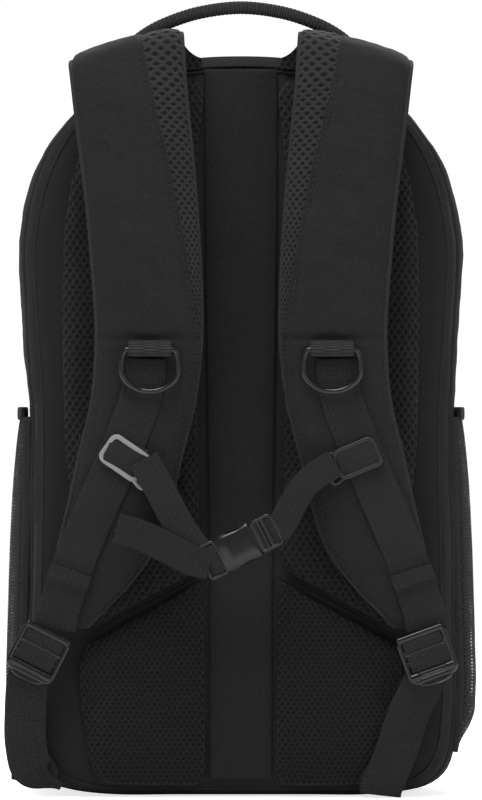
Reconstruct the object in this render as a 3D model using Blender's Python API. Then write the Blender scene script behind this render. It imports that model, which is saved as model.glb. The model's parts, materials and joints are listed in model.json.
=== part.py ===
"""School backpack: arched body, front flap on a zip, front and side pockets, padded back and harness.

The harness side faces -Y and the front pocket faces +Y. The origin is on the floor, under the middle of the
bounding box. Each sub-part is one closed body, and a moving one has its origin on its joint's axis.
"""

import math

import bmesh
import bpy
import numpy as np
from mathutils import Matrix, Vector

MM = 0.001
GAP = 0.3 * MM

# Depths below are written from a plane near the back panel, and this move centres the whole box on the origin.
CENTRING = Vector((0, 5.26, 0)) * MM

# Body outline, seen from the back.
BODY_HEIGHT = 445 * MM
ARCH_HALF_WIDTH = 134 * MM
ARCH_RISE = 133 * MM
ARCH_CENTRE = 312 * MM
ARCH_POWER = 2.4
FLAP_HEIGHT = 205 * MM
BASE_POINTS = [(0, 0), (40, 0), (75, 0), (100, 2.5), (116, 8), (126, 20), (130, 40), (131, 70)]
SIDE_POINTS = [(129.5, 120), (128.5, 165), (128, 205), (128.5, 240), (131, 275)]

# Body depth. A row holds: distance from the back, and how far the side, the top and the base are drawn in.
Y_BACK = -58 * MM
Y_FRONT = 82 * MM
Y_TAPE = 15 * MM
Y_ZIP = 22 * MM
Y_FLAP = 29 * MM
DEPTH_TAPER = 0.2
BODY_ROWS = [
    (-58, 11, 4, 6), (-50, 4, 1, 1.5), (-38, 0, 0, 0), (-10, 0, 2, 0), (22, 1, 6, 0), (52, 3, 14, 0.5),
    (70, 10, 26, 4), (82, 24, 44, 12),
]
SKIN = 2.5 * MM

# Pads on the back.
PAD_HEIGHT = 10 * MM
PAD_UPPER = [
    (22, 138), (22, 280), (22, 420), (34, 428), (60, 424), (84, 410), (99, 390), (107, 366), (111, 330), (112, 290),
    (111, 245), (109, 200), (105, 150), (97, 98),
]
PAD_LOWER = [(20, 18), (20, 70), (21, 128), (95, 88), (103, 76), (102, 45), (96, 20), (84, 13), (28, 11)]

# Harness. A row holds: distance behind the origin, height, thickness, and the outer and inner edge.
STRAP_ROWS = [
    (-68, 428, 8, 100, 42), (-73, 442, 10, 103, 37), (-84, 450, 11, 104, 35), (-96, 444, 12, 104, 34),
    (-104, 425, 12, 102.5, 32.5), (-107, 395, 12, 99, 29.5), (-108, 355, 12, 94, 26), (-107, 315, 12, 90.5, 23.5),
    (-105, 275, 12, 87.5, 23), (-101, 238, 12, 89, 27), (-97, 205, 12, 96.5, 35), (-93, 175, 11, 103, 42),
    (-89, 150, 10, 109, 51), (-85, 130, 9, 114, 65), (-82, 112, 7, 120, 82), (-80, 102, 5, 123, 92),
]
STRAP_WEBBING = [(8.49, 57), (9, 60), (10, 73), (11, 86), (12, 97), (13, 104), (14, 109.5), (15, 111)]
WEB_WIDTH = 25 * MM
WEB = 1.6 * MM
RING_STATION = 8.15
RING_SIDE = 54 * MM
HARNESS_AXIS = (-66 * MM, 430 * MM)

# Ladder locks and the webbing under them: the lock's middle, then the webbing's middle on its way to the base.
LOCKS = {"left": (-121, -88.6, 87, -27), "right": (111, -88.6, 86, 20)}
LOWER_WEBBING = {
    "left": [(-127.5, -79, 71), (-129, -75, 52), (-129, -70, 32), (-124, -65, 14)],
    "right": [(107, -79, 69), (100, -76, 50), (93, -73, 28), (85, -72, 8)],
}

# Sternum strap.
SLIDER_SIDE_X = 69 * MM
SLIDER_TURN = math.radians(25)
STERNUM_WEB = 20 * MM
BUCKLE_PLACE = Vector((0, -0.106, 0.1515))
BUCKLE_TURN = math.radians(27)
BUCKLE_HALF_WIDTH = 11.5 * MM
BUCKLE_HALF_DEPTH = 4.2 * MM

# Haul handle, zip sliders and pockets.
HANDLE_RADIUS = 4 * MM
HANDLE_ROUTE = [(-73, 438), (-69, 447), (-60, 456), (-46, 464), (-25, 471), (0, 474), (25, 471), (46, 464)]
HANDLE_ROUTE += [(60, 456), (69, 447), (73, 438)]
HANDLE_Y = -58 * MM
ZIP_ARC_CENTRE = 244 * MM
SLIDER_SIDE = 9 * MM
POCKET_HALF = 98 * MM
POCKET_LOW = 28 * MM
POCKET_HIGH = 178 * MM
POCKET_DEPTH = 27 * MM
SIDE_POCKET = (26 * MM, 226 * MM)
POCKET_CLEAR = 3.0 * MM
BINDING = 8 * MM

FABRIC = (0.028, 0.028, 0.029)
MESH = (0.012, 0.012, 0.013)
WEBBING = (0.022, 0.022, 0.023)
PLASTIC = (0.010, 0.010, 0.011)
GREY_PLASTIC = (0.32, 0.32, 0.33)
METAL = (0.05, 0.05, 0.055)
LINING = (0.06, 0.06, 0.065)


def clear_scene():
    for thing in list(bpy.data.objects):
        bpy.data.objects.remove(thing)


def material(name, colour, roughness, metallic):
    made = bpy.data.materials.new(name)
    made.use_nodes = True
    shader = made.node_tree.nodes["Principled BSDF"]
    shader.inputs["Base Color"].default_value = (*colour, 1)
    shader.inputs["Roughness"].default_value = roughness
    shader.inputs["Metallic"].default_value = metallic
    return made


def place(name, bm, colour, roughness=0.85, metallic=0.0, origin=(0, 0, 0), smooth=True):
    """Turns a bmesh into an object whose origin is at the given point, and centres both."""
    bmesh.ops.recalc_face_normals(bm, faces=bm.faces)
    if bm.calc_volume(signed=True) < 0:
        bmesh.ops.reverse_faces(bm, faces=bm.faces)
    bmesh.ops.translate(bm, vec=-Vector(origin), verts=bm.verts)
    mesh = bpy.data.meshes.new(name)
    bm.to_mesh(mesh)
    bm.free()
    mesh.materials.append(material(name, colour, roughness, metallic))
    if smooth:
        mesh.shade_smooth()
        mesh.set_sharp_from_angle(angle=math.radians(40))
    thing = bpy.data.objects.new(name, mesh)
    thing.location = Vector(origin) + CENTRING
    bpy.context.scene.collection.objects.link(thing)
    return thing


def loft(rings, capped=True):
    """A closed body through rings of points, in metres, with a flat cap at each end."""
    bm = bmesh.new()
    rows = [[bm.verts.new(point) for point in ring] for ring in rings]
    count = len(rows[0])
    for low, high in zip(rows, rows[1:]):
        for i in range(count):
            j = (i + 1) % count
            bm.faces.new((low[i], low[j], high[j], high[i]))
    if capped:
        bm.faces.new(rows[0])
        bm.faces.new(rows[-1])
    else:
        for i in range(count):
            j = (i + 1) % count
            bm.faces.new((rows[-1][i], rows[-1][j], rows[0][j], rows[0][i]))
    return bm


def skin(grid, thickness, closed=False, pole=False):
    """A sheet of even thickness whose outer face is a grid of points, rows by columns, normals to its outside.

    closed joins the last column to the first. pole draws the last row into a single point.
    """
    grid = np.asarray(grid, float)
    along = np.gradient(grid, axis=0)
    if closed:
        across = np.roll(grid, -1, axis=1) - np.roll(grid, 1, axis=1)
    else:
        across = np.gradient(grid, axis=1)
    normal = np.cross(across, along)
    if pole:
        normal[-1] = normal[-2].mean(axis=0)
    normal /= np.linalg.norm(normal, axis=2, keepdims=True)
    inner = grid - thickness * normal
    bm = bmesh.new()
    rows, columns = grid.shape[:2]
    sides = []
    for layer in (grid, inner):
        points = [[bm.verts.new(point) for point in row] for row in layer[: rows - 1]]
        last = [bm.verts.new(layer[-1][0])] * columns if pole else [bm.verts.new(point) for point in layer[-1]]
        sides.append(points + [last])
    outer, inner = sides

    def face(*corners):
        kept = list(dict.fromkeys(corners))
        if len(kept) > 2:
            bm.faces.new(kept)

    for i in range(rows - 1):
        for j in range(columns if closed else columns - 1):
            k = (j + 1) % columns
            for side in (outer, inner):
                face(side[i][j], side[i][k], side[i + 1][k], side[i + 1][j])
    for j in range(columns if closed else columns - 1):
        k = (j + 1) % columns
        face(outer[0][j], outer[0][k], inner[0][k], inner[0][j])
        if not pole:
            face(outer[-1][j], outer[-1][k], inner[-1][k], inner[-1][j])
    if not closed:
        for i in range(rows - 1):
            for j in (0, columns - 1):
                face(outer[i][j], outer[i + 1][j], inner[i + 1][j], inner[i][j])
    return bm


def plate(outline, holes, thickness):
    """A flat plate in the XY plane, from z = 0 to its thickness, with holes right through it."""
    bm = bmesh.new()
    edges = []
    for loop in [outline, *holes]:
        corners = [bm.verts.new((x, y, 0)) for x, y in loop]
        edges += [bm.edges.new((corners[i - 1], corners[i])) for i in range(len(corners))]
    bmesh.ops.triangle_fill(bm, use_beauty=True, edges=edges)
    raised = bmesh.ops.extrude_face_region(bm, geom=bm.faces[:])["geom"]
    bmesh.ops.translate(bm, vec=(0, 0, thickness), verts=[v for v in raised if isinstance(v, bmesh.types.BMVert)])
    return bm


def rounded(half_x, half_y, radius, steps=3, centre=(0, 0)):
    """A rectangle's outline with round corners."""
    points = []
    for turn, (sx, sy) in enumerate([(1, 1), (-1, 1), (-1, -1), (1, -1)]):
        for step in range(steps + 1):
            angle = math.pi / 2 * (turn + step / steps)
            points.append(
                (
                    centre[0] + sx * (half_x - radius) + radius * math.cos(angle),
                    centre[1] + sy * (half_y - radius) + radius * math.sin(angle),
                )
            )
    return points


def box(low, high):
    bm = bmesh.new()
    middle = (Vector(low) + Vector(high)) / 2
    size = Vector(high) - Vector(low)
    bmesh.ops.create_cube(bm, size=1, matrix=Matrix.Translation(middle) @ Matrix.Diagonal((*size, 1)))
    return bm


def strip(points, sides, width, thickness):
    """A band through the points. Each side vector runs across the band, and it is turned square to the route."""
    points = [Vector(point) for point in points]
    rings = []
    for i, point in enumerate(points):
        along = points[min(i + 1, len(points) - 1)] - points[max(i - 1, 0)]
        side = Vector(sides[i])
        side = (side - side.project(along)).normalized()
        face = along.cross(side).normalized()
        rings.append(
            [
                point + side * (a * width / 2) + face * (b * thickness / 2)
                for a, b in ((-1, -1), (1, -1), (1, 1), (-1, 1))
            ]
        )
    return loft(rings)


def tapered(y, z):
    """The body is shallower at its top: depth is measured from the back and shrinks with height."""
    return Y_BACK + (y - Y_BACK) * (1 - DEPTH_TAPER * z / BODY_HEIGHT)


def half_outline():
    """Right half of the body outline, from the middle of the base to the middle of the top."""
    points = [(x * MM, z * MM) for x, z in BASE_POINTS + SIDE_POINTS]
    for step in range(12):
        angle = math.radians(3) + (math.pi / 2 - math.radians(3)) * step / 11
        x = ARCH_HALF_WIDTH * max(math.cos(angle), 0) ** (2 / ARCH_POWER)
        points.append((x, ARCH_CENTRE + ARCH_RISE * math.sin(angle) ** (2 / ARCH_POWER)))
    return points


def outline(part="whole"):
    """The body outline as a loop, or its stretch over or under the flap's lower edge, from right to left."""
    half = half_outline()
    split = next(i for i, point in enumerate(half) if abs(point[1] - FLAP_HEIGHT) < MM)
    mirrored = [(-x, z) for x, z in half]
    if part == "upper":
        return half[split:] + mirrored[split:-1][::-1]
    if part == "lower":
        return half[: split + 1][::-1] + mirrored[1 : split + 1]
    return half + mirrored[1:-1][::-1]


def body_row(points, y, inset=0.0):
    """The outline at one depth, with the body's rounding there."""
    table = np.array(BODY_ROWS) * MM
    side, top, base = (np.interp(y, table[:, 0], table[:, i]) + inset for i in (1, 2, 3))
    row = []
    for x, z in points:
        height = base + z * (BODY_HEIGHT - top - base) / BODY_HEIGHT
        row.append((x * (1 - side / ARCH_HALF_WIDTH), tapered(y, height), height))
    return row


def front_rows(points, first, lift):
    """Rows from a depth to the front edge, then across the front to its pole, moved by lift along Z."""
    depths = [first] + [row[0] * MM for row in BODY_ROWS if row[0] * MM > first + MM]
    rows = [body_row(points, y) for y in depths]
    edge = rows[-1]
    pole_z = edge[0][2]
    for share in (0.72, 0.4, 0.0):
        rows.append(
            [
                (x * share, tapered(Y_FRONT, pole_z + (z - pole_z) * share), pole_z + (z - pole_z) * share)
                for x, _, z in edge
            ]
        )
    return [[(x, y, z + lift) for x, y, z in row] for row in rows]


def body():
    whole = outline()
    depths = [y * MM for y in (-58, -50, -38, -10)] + [Y_TAPE]
    upper_rear = [body_row(outline("upper"), y)[::-1] for y in depths]
    lower_rear = [body_row(outline("lower"), y) for y in depths]
    for row in lower_rear:
        for end in (0, -1):
            x, y, z = row[end]
            row[end] = (x, y, z - GAP)
    place("rear_gusset", skin(upper_rear, SKIN), FABRIC)
    place("base_gusset", skin(lower_rear, SKIN), FABRIC)

    panel = [(x, z) for x, _, z in body_row(whole, Y_BACK, 1.6 * SKIN)]
    rings = [[(x, y, z) for x, z in panel] for y in (Y_BACK, Y_BACK + 0.8 * SKIN)]
    place("back_panel", loft(rings), FABRIC)

    lower = front_rows(outline("lower"), Y_TAPE + GAP, 0.0)
    flap = [row[::-1] for row in front_rows(outline("upper"), Y_FLAP, 2 * GAP)]
    hinge_y, hinge_z = flap_axis()
    place("front_lower", skin(lower, SKIN, pole=True), FABRIC)
    place("front_flap", skin(flap, SKIN, pole=True), FABRIC, origin=(0, hinge_y, hinge_z))

    arc = outline("upper")
    for name, first, last, origin in (
        ("zip_tape_rear", Y_TAPE + 3 * GAP, Y_ZIP - GAP, (0, 0, 0)),
        ("zip_tape_front", Y_ZIP + GAP, Y_FLAP - 3 * GAP, (0, hinge_y, hinge_z)),
    ):
        rows = [body_row(arc, y, 0.8 * MM) for y in (first, last)]
        rows = [[(x, y, z + 2 * GAP) for x, y, z in row[::-1]] for row in rows]
        place(name, skin(rows, 1.6 * MM), WEBBING, origin=origin)


def flap_axis():
    """Height and depth of the line that the flap folds about: the front's outer face at the flap's lower edge."""
    edge = body_row([(0, FLAP_HEIGHT)], Y_FRONT)[0]
    return edge[1] + 0.5 * MM, edge[2]


def cushion(points, side, base_y, height):
    """A padded panel: a flat back, a full edge and a domed face towards -Y."""
    shape = np.array([(side * x * MM, z * MM) for x, z in points])
    middle = (shape.min(axis=0) + shape.max(axis=0)) / 2
    rings = []
    for share, rise in ((1, 0), (1, 0.55), (0.94, 0.9), (0.75, 1)):
        rings.append([(x, base_y - rise * height, z) for x, z in middle + (shape - middle) * share])
    return loft(rings)


def back():
    base_y = Y_BACK - GAP
    for label, side in (("left", -1), ("right", 1)):
        place(f"back_pad_upper_{label}", cushion(PAD_UPPER, side, base_y, PAD_HEIGHT), MESH)
        place(f"back_pad_lower_{label}", cushion(PAD_LOWER, side, base_y, PAD_HEIGHT), MESH)
    channel = [[(x, y, z) for x, z in ((-19.5 * MM, 14 * MM), (19.5 * MM, 14 * MM), (21 * MM, 428 * MM),
                (-21 * MM, 428 * MM))] for y in (base_y, base_y - 2 * MM)]
    place("spine_panel", loft(channel), FABRIC)
    crown = [(60, 431), (58, 434), (30, 437.5), (0, 438.5), (-30, 437.5), (-58, 434), (-60, 431)]
    rings = [[(x * MM, y, z * MM) for x, z in crown] for y in (base_y, base_y - 2.5 * MM)]
    place("top_yoke", loft(rings), WEBBING)
    sleeve = [rounded(92 * MM, 120 * MM, 12 * MM, centre=(0, 165 * MM))] * 2
    rings = [[(x, y, z) for x, z in sleeve[0]] for y in (Y_BACK + 3 * MM, Y_BACK + 8 * MM)]
    place("laptop_sleeve", loft(rings), LINING)


def pocket_surface(side, low, high, rows, columns=9, out=0.0):
    """The side pocket's face: it starts on the body and stands off it, fullest near the base."""
    first, last = -44 * MM, 40 * MM
    grid = []
    for i in range(rows):
        z = low + (high - low) * i / (rows - 1)
        foot = math.sin(math.pi / 2 * min((z - SIDE_POCKET[0]) / (45 * MM), 1)) ** 0.7
        full = (9 - 4 * (z / SIDE_POCKET[1]) ** 1.5) * MM * foot
        body_half = np.interp(z, *zip(*[(p[1], p[0]) for p in half_outline() if p[0] > 100 * MM]))
        row = []
        for j in range(columns):
            share = j / (columns - 1)
            y = first + (last - first) * share
            bulge = full * math.sin(math.pi * min(max(share, 0), 1)) ** 0.55
            row.append((side * (body_half + POCKET_CLEAR + bulge + out), tapered(y, z), z))
        grid.append(row)
    return grid


def pockets():
    low, high = SIDE_POCKET
    for label, side in (("left", -1), ("right", 1)):
        grid = pocket_surface(side, low, high, 7)
        band = pocket_surface(side, high + GAP, high + BINDING, 3, out=0.6 * MM)
        if side < 0:
            grid, band = [row[::-1] for row in grid], [row[::-1] for row in band]
        place(f"side_pocket_{label}", skin(grid, 1.4 * MM), MESH)
        place(f"pocket_binding_{label}", skin(band, 2 * MM), WEBBING)

    columns, rows = 15, 9
    grid = []
    for i in range(rows):
        up = i / (rows - 1)
        z = POCKET_LOW + (POCKET_HIGH - POCKET_LOW) * up
        row = []
        for j in range(columns):
            across = 2 * j / (columns - 1) - 1
            swell = (1 - across**6) ** 0.6 * (1 - (2 * up - 1) ** 6) ** 0.6
            y = tapered(Y_FRONT, z) + 2.4 * MM + GAP + POCKET_DEPTH * swell
            row.append((POCKET_HALF * across, y, z))
        grid.append(row[::-1])
    place("front_pocket", skin(grid, 1.8 * MM), FABRIC)


def pocket_face(z):
    """Depth of the front pocket's flat face at a height."""
    up = (z - POCKET_LOW) / (POCKET_HIGH - POCKET_LOW)
    swell = (1 - (2 * up - 1) ** 6) ** 0.6
    return tapered(Y_FRONT, z) + 2.4 * MM + GAP + POCKET_DEPTH * swell


def zip_fittings():
    """Two sliders on the main zip, one on the pocket zip, each with a pull on its own pin."""
    for label, side in (("left", -1), ("right", 1)):
        top = body_row([(side * SLIDER_SIDE, half_height(SLIDER_SIDE))], Y_ZIP)[0]
        pivot = (0, top[1], ZIP_ARC_CENTRE)
        base = top[2] + 1.9 * MM
        low = (side * SLIDER_SIDE - 5 * MM, top[1] - 4 * MM, base)
        high = (side * SLIDER_SIDE + 5 * MM, top[1] + 4 * MM, base + 2.2 * MM)
        place(f"zip_slider_{label}", box(low, high), METAL, 0.4, 0.8, origin=pivot)
        pin = (side * (SLIDER_SIDE + 1.5 * MM), top[1], base + 3.6 * MM)
        tab = plate(rounded(11 * MM, 3 * MM, 2.5 * MM, centre=(10 * MM, 0)), [], 1.2 * MM)
        tab.transform(Matrix.Translation(pin) @ Matrix.Diagonal((side, 1, 1, 1)) @ Matrix.Translation((0, 0, -0.6 * MM)))
        place(f"zip_pull_{label}", tab, METAL, 0.4, 0.8, origin=pin)

    z = POCKET_HIGH - 32 * MM
    face = max(pocket_face(z + d * MM) for d in (-8, 0, 8))
    tape = [[(x, y, h) for x, h in rounded(84 * MM, 7 * MM, 2 * MM, centre=(0, z))] for y in (face + GAP, face + 1.6 * MM)]
    place("pocket_zip_tape", loft(tape), WEBBING)
    x = 74 * MM
    out = face + 1.6 * MM + GAP
    place("pocket_zip_slider", box((x - 5 * MM, out, z - 4 * MM), (x + 5 * MM, out + 2.2 * MM, z + 4 * MM)), METAL, 0.4, 0.8,
          origin=(x, out, z))
    pin = (x, out + 3.4 * MM, z)
    tab = plate(rounded(3 * MM, 11 * MM, 2.5 * MM, centre=(0, -10 * MM)), [], 1.2 * MM)
    tab.transform(Matrix.Translation(pin) @ Matrix.Rotation(math.pi / 2, 4, "X") @ Matrix.Translation((0, 0, -0.6 * MM)))
    place("pocket_zip_pull", tab, METAL, 0.4, 0.8, origin=pin)


def half_height(x):
    """Height of the arch's outline at a distance from the middle."""
    return ARCH_CENTRE + ARCH_RISE * (1 - (x / ARCH_HALF_WIDTH) ** ARCH_POWER) ** (1 / ARCH_POWER)


def strap_station(s):
    """Strap centre, thickness, half width and outward normal at a place between two rows."""
    rows = np.array(STRAP_ROWS) * MM
    i = min(int(s), len(rows) - 2)
    row = rows[i] + (rows[i + 1] - rows[i]) * (s - i)
    return row


def strap_normal(s):
    """Unit vector out of the strap's face, in the YZ plane. A fractional place lies on one flat stretch."""
    rows = np.array(STRAP_ROWS) * MM
    if s != int(s):
        low, high = rows[int(s)], rows[int(s) + 1]
    else:
        low, high = rows[max(int(s) - 1, 0)], rows[min(int(s) + 1, len(rows) - 1)]
    dy, dz = high[0] - low[0], high[1] - low[1]
    length = math.hypot(dy, dz)
    return np.array((dz / length, -dy / length))


def strap_face(s, lift):
    """Depth and height of a point over the strap's outer face."""
    row, normal = strap_station(s), strap_normal(s)
    return row[:2] + normal * (row[2] / 2 + lift)


def harness():
    origin = (0, *HARNESS_AXIS)
    section = [(-1, -0.4), (-1, 0.4), (-0.93, 1), (0.93, 1), (1, 0.4), (1, -0.4), (0.93, -1), (-0.93, -1)]
    for label, side in (("left", -1), ("right", 1)):
        rings, band, across = [], [], []
        for s in range(len(STRAP_ROWS)):
            row, normal = strap_station(s), strap_normal(s)
            middle, half = (row[3] + row[4]) / 2, (row[3] - row[4]) / 2
            rings.append(
                [
                    (side * (middle + a * half), row[0] + normal[0] * b * row[2] / 2, row[1] + normal[1] * b * row[2] / 2)
                    for a, b in section
                ]
            )
        place(f"strap_pad_{label}", loft(rings), FABRIC, origin=origin)
        web_rings = []
        for s, x in STRAP_WEBBING:
            corners = [(strap_face(s, lift), edge) for lift, edge in (
                (GAP, -1), (GAP, 1), (GAP + WEB, 1), (GAP + WEB, -1))]
            web_rings.append([(side * x * MM + edge * WEB_WIDTH / 2, y, z) for (y, z), edge in corners])
        place(f"strap_webbing_{label}", loft(web_rings), WEBBING, origin=origin)
        ring_and_tab(label, side, origin)
        lock(label, side, origin)
        slider(label, side)


def ring_and_tab(label, side, origin):
    """A D-ring whose straight bar turns in a folded tab that is sewn to the strap's face."""
    frame = face_frame(RING_STATION, side * RING_SIDE, 4.9 * MM)

    def at(out, along):
        return frame @ Vector((0, along, out))

    hoop = 3.4 * MM
    route = [at(-hoop, 11 * MM), at(-hoop, 4 * MM)]
    route += [at(-hoop * math.cos(a), -hoop * math.sin(a)) for a in np.linspace(0, math.pi, 8)]
    route += [at(hoop * 0.4, 5.5 * MM), at(-hoop + 2.4 * MM, 11 * MM)]
    place(f"ring_tab_{label}", strip(route, [(1, 0, 0)] * len(route), WEB_WIDTH - 1 * MM, 1.3 * MM), WEBBING, origin=origin)

    half, drop, wire = 17 * MM, 23.5 * MM, 3.2 * MM
    outer = [(-half, 1.7 * MM), (-half, -8 * MM), (-half * 0.86, -16 * MM), (-half * 0.5, -21.5 * MM), (0, -drop)]
    outer += [(-x, y) for x, y in outer[-2::-1]]
    inner = [(-half + wire, -wire / 2), (-half + wire, -8 * MM), (-half * 0.68, -14.5 * MM), (-half * 0.38, -18.6 * MM),
             (0, -drop + wire)]
    inner += [(-x, y) for x, y in inner[-2::-1]]
    ring = plate(outer, [inner], wire)
    ring.transform(frame @ Matrix.Translation((0, 0, -wire / 2)))
    place(f"d_ring_{label}", ring, PLASTIC, 0.35, origin=frame.translation)


def lock(label, side, origin):
    """Ladder lock under the strap's end, its loop of webbing, and the webbing that runs on to the base."""
    x, y, z, turn = LOCKS[label]
    frame = Matrix.Translation((x * MM, y * MM, z * MM)) @ Matrix.Rotation(math.radians(-turn), 4, "Y")
    frame = frame @ Matrix.Rotation(math.pi / 2, 4, "X")
    slots = [rounded(12.9 * MM, 2.2 * MM, 1 * MM, 1, (0, h * MM)) for h in (10.2, 2.2, -5.8)]
    shape = rounded(15.6 * MM, 15.2 * MM, 4 * MM, 3)
    shape = [(px, py - 4 * MM if py < -10 * MM and abs(px) < 14 * MM else py) for px, py in shape]
    body_bm = plate(shape, slots, 4 * MM)
    body_bm.transform(frame @ Matrix.Translation((0, 0, -2 * MM)))
    bar = frame @ Vector((0, 14.2 * MM, 0))
    place(f"ladder_lock_{label}", body_bm, PLASTIC, 0.35, origin=bar)

    points = [Vector(point) * MM for point in LOWER_WEBBING[label]]
    sides = [frame.to_3x3() @ Vector((1, 0, 0))] + [Vector((1, 0, 0.1))] * (len(points) - 1)
    place(f"lower_webbing_{label}", strip(points, sides, WEB_WIDTH, WEB), WEBBING)
    end = points[-1]
    wing = box((end.x - 14 * MM, end.y + 1.4 * MM, end.z - 5 * MM), (end.x + 14 * MM, end.y + 4 * MM, end.z + 12 * MM))
    place(f"strap_wing_{label}", wing, FABRIC)


def face_frame(s, x, lift):
    """Axes on the strap's face: x to the right, y up the strap, z out of the face."""
    normal = strap_normal(s)
    y, z = strap_face(s, lift)
    columns = (Vector((1, 0, 0)), Vector((0, -normal[1], normal[0])), Vector((0, normal[0], normal[1])))
    if columns[1].z < 0:
        columns = (columns[0], -columns[1], columns[2])
    return Matrix.Translation((x, y, z)) @ Matrix(columns).transposed().to_4x4()


def slider(label, side):
    """Sternum slider in front of the strap's webbing: a frame with one bar, and a rail for the sternum web."""
    shape = rounded(15 * MM, 10.5 * MM, 2.5 * MM)
    slots = [rounded(11.5 * MM, 3.2 * MM, 1 * MM, 1, (0, h * MM)) for h in (4.4, -4.4)]
    made = plate(shape, slots, 3 * MM)
    frame = face_frame(10, side * SLIDER_SIDE_X, GAP + WEB + 0.5 * MM)
    made.transform(frame @ Matrix.Rotation(side * SLIDER_TURN, 4, "Z"))
    place(f"sternum_slider_{label}", made, GREY_PLASTIC if side < 0 else PLASTIC, 0.4)


def buckle_frame():
    """Local axes on the buckle: x towards the male half, y across it, z out of its face."""
    across = Vector((-math.sin(BUCKLE_TURN), 0, math.cos(BUCKLE_TURN)))
    along = Vector((math.cos(BUCKLE_TURN), 0, math.sin(BUCKLE_TURN)))
    out = along.cross(across)
    frame = Matrix((along, across, out)).transposed().to_4x4()
    return Matrix.Translation(BUCKLE_PLACE) @ frame


def sternum():
    frame = buckle_frame()
    width, depth = BUCKLE_HALF_WIDTH, BUCKLE_HALF_DEPTH
    shell = box((-14 * MM, -width, -depth), (9 * MM, width, depth))
    shell.transform(frame)
    female = place("buckle_female", shell, PLASTIC, 0.25, smooth=False)
    cavity = box((-9 * MM, -9 * MM, -2.2 * MM), (12 * MM, 9 * MM, 2.2 * MM))
    windows = box((-5 * MM, -14 * MM, -2.2 * MM), (3 * MM, 14 * MM, 2.2 * MM))
    slot = box((-12.6 * MM, -8.5 * MM, -6 * MM), (-10.6 * MM, 8.5 * MM, 6 * MM))
    for name, cutter in (("cavity", cavity), ("windows", windows), ("web_slot", slot)):
        cutter.transform(frame)
        guide = place(f"buckle_{name}_cutter", cutter, PLASTIC, smooth=False)
        guide.hide_render = True
        guide.display_type = "WIRE"
        cut = female.modifiers.new(name, "BOOLEAN")
        cut.operation = "DIFFERENCE"
        cut.object = guide
    ladder = plate(rounded(4.2 * MM, 10.5 * MM, 2 * MM, 2, (-18.6 * MM, 0)),
                   [rounded(1.5 * MM, 8 * MM, 0.5 * MM, 1, (-18.4 * MM, 0))], 3 * MM)
    ladder.transform(frame @ Matrix.Translation((0, 0, -1.5 * MM)))
    place("buckle_adjuster", ladder, PLASTIC, 0.25)

    outer = [(9.4, -10.5), (16, -10.5), (22.5, -9.5), (24, -8), (24, 8), (22.5, 9.5), (16, 10.5), (9.4, 10.5), (9.4, 2),
             (-7, 2), (-7, -2), (9.4, -2)]
    web_slot = rounded(1.4 * MM, 7.5 * MM, 0.5 * MM, 1, (20.5 * MM, 0))
    male = plate([(x * MM, y * MM) for x, y in outer], [web_slot], 3.8 * MM)
    male.transform(frame @ Matrix.Translation((0, 0, -1.9 * MM)))
    place("buckle_male", male, PLASTIC, 0.25)
    for label, side in (("upper", 1), ("lower", -1)):
        root = frame @ Vector((9 * MM, side * 6 * MM, 0))
        arm = [(9, 4.8), (9, 7.2), (3, 7.6), (1.5, 8.6), (-4, 8.6), (-7.5, 5.2), (-7.5, 4.2), (0, 4.6)]
        prong = plate([(x * MM, side * y * MM) for x, y in arm], [], 3.4 * MM)
        prong.transform(frame @ Matrix.Translation((0, 0, -1.7 * MM)))
        place(f"buckle_prong_{label}", prong, PLASTIC, 0.25, origin=root)

    y = BUCKLE_PLACE.y
    left = [(-57, -110.2, 201), (-48, -109.6, 185), (-38, -106.8, 166), (-29, -106.4, 150)]
    across = Vector((0.86, 0, 0.5))
    place("sternum_web_left", strip([Vector(p) * MM for p in left], [across] * 4, STERNUM_WEB, 1.3 * MM), WEBBING)
    tail = [(-30, -109.5, 143), (-45, -110.6, 151), (-60, -111, 158), (-74, -110.8, 162)]
    place("sternum_tail", strip([Vector(p) * MM for p in tail], [(0.3, 0, 1)] * 4, STERNUM_WEB, 1.3 * MM), WEBBING)
    right = [(55, -110.2, 200), (40, -110, 190), (31, -108.5, 177), (26.5, -107, 168)]
    sides = [(0.5, 0, -0.86), (0.65, -0.3, -0.75), (0.8, -0.3, -0.5), (0.9, 0, -0.42)]
    place("sternum_web_right", strip([Vector(p) * MM for p in right], sides, STERNUM_WEB - 3 * MM, 1.3 * MM), WEBBING)


def haul_handle():
    """A rolled tube of webbing, arched between the two strap tops."""
    route = [Vector((x * MM, HANDLE_Y, z * MM)) for x, z in HANDLE_ROUTE]
    rings = []
    for i, point in enumerate(route):
        along = (route[min(i + 1, len(route) - 1)] - route[max(i - 1, 0)]).normalized()
        side = Vector((0, 1, 0))
        face = along.cross(side)
        rings.append([point + HANDLE_RADIUS * (side * math.cos(a) + face * math.sin(a))
                      for a in np.linspace(0, 2 * math.pi, 10, endpoint=False)])
    place("haul_handle", loft(rings), WEBBING, origin=(0, HANDLE_Y, 438 * MM))


def main():
    clear_scene()
    body()
    back()
    pockets()
    zip_fittings()
    harness()
    sternum()
    haul_handle()


main()
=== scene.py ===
"""School backpack: cloth, mesh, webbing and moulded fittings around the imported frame."""

from __future__ import annotations

import json
import logging
import math
from dataclasses import dataclass
from enum import Enum

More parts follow.
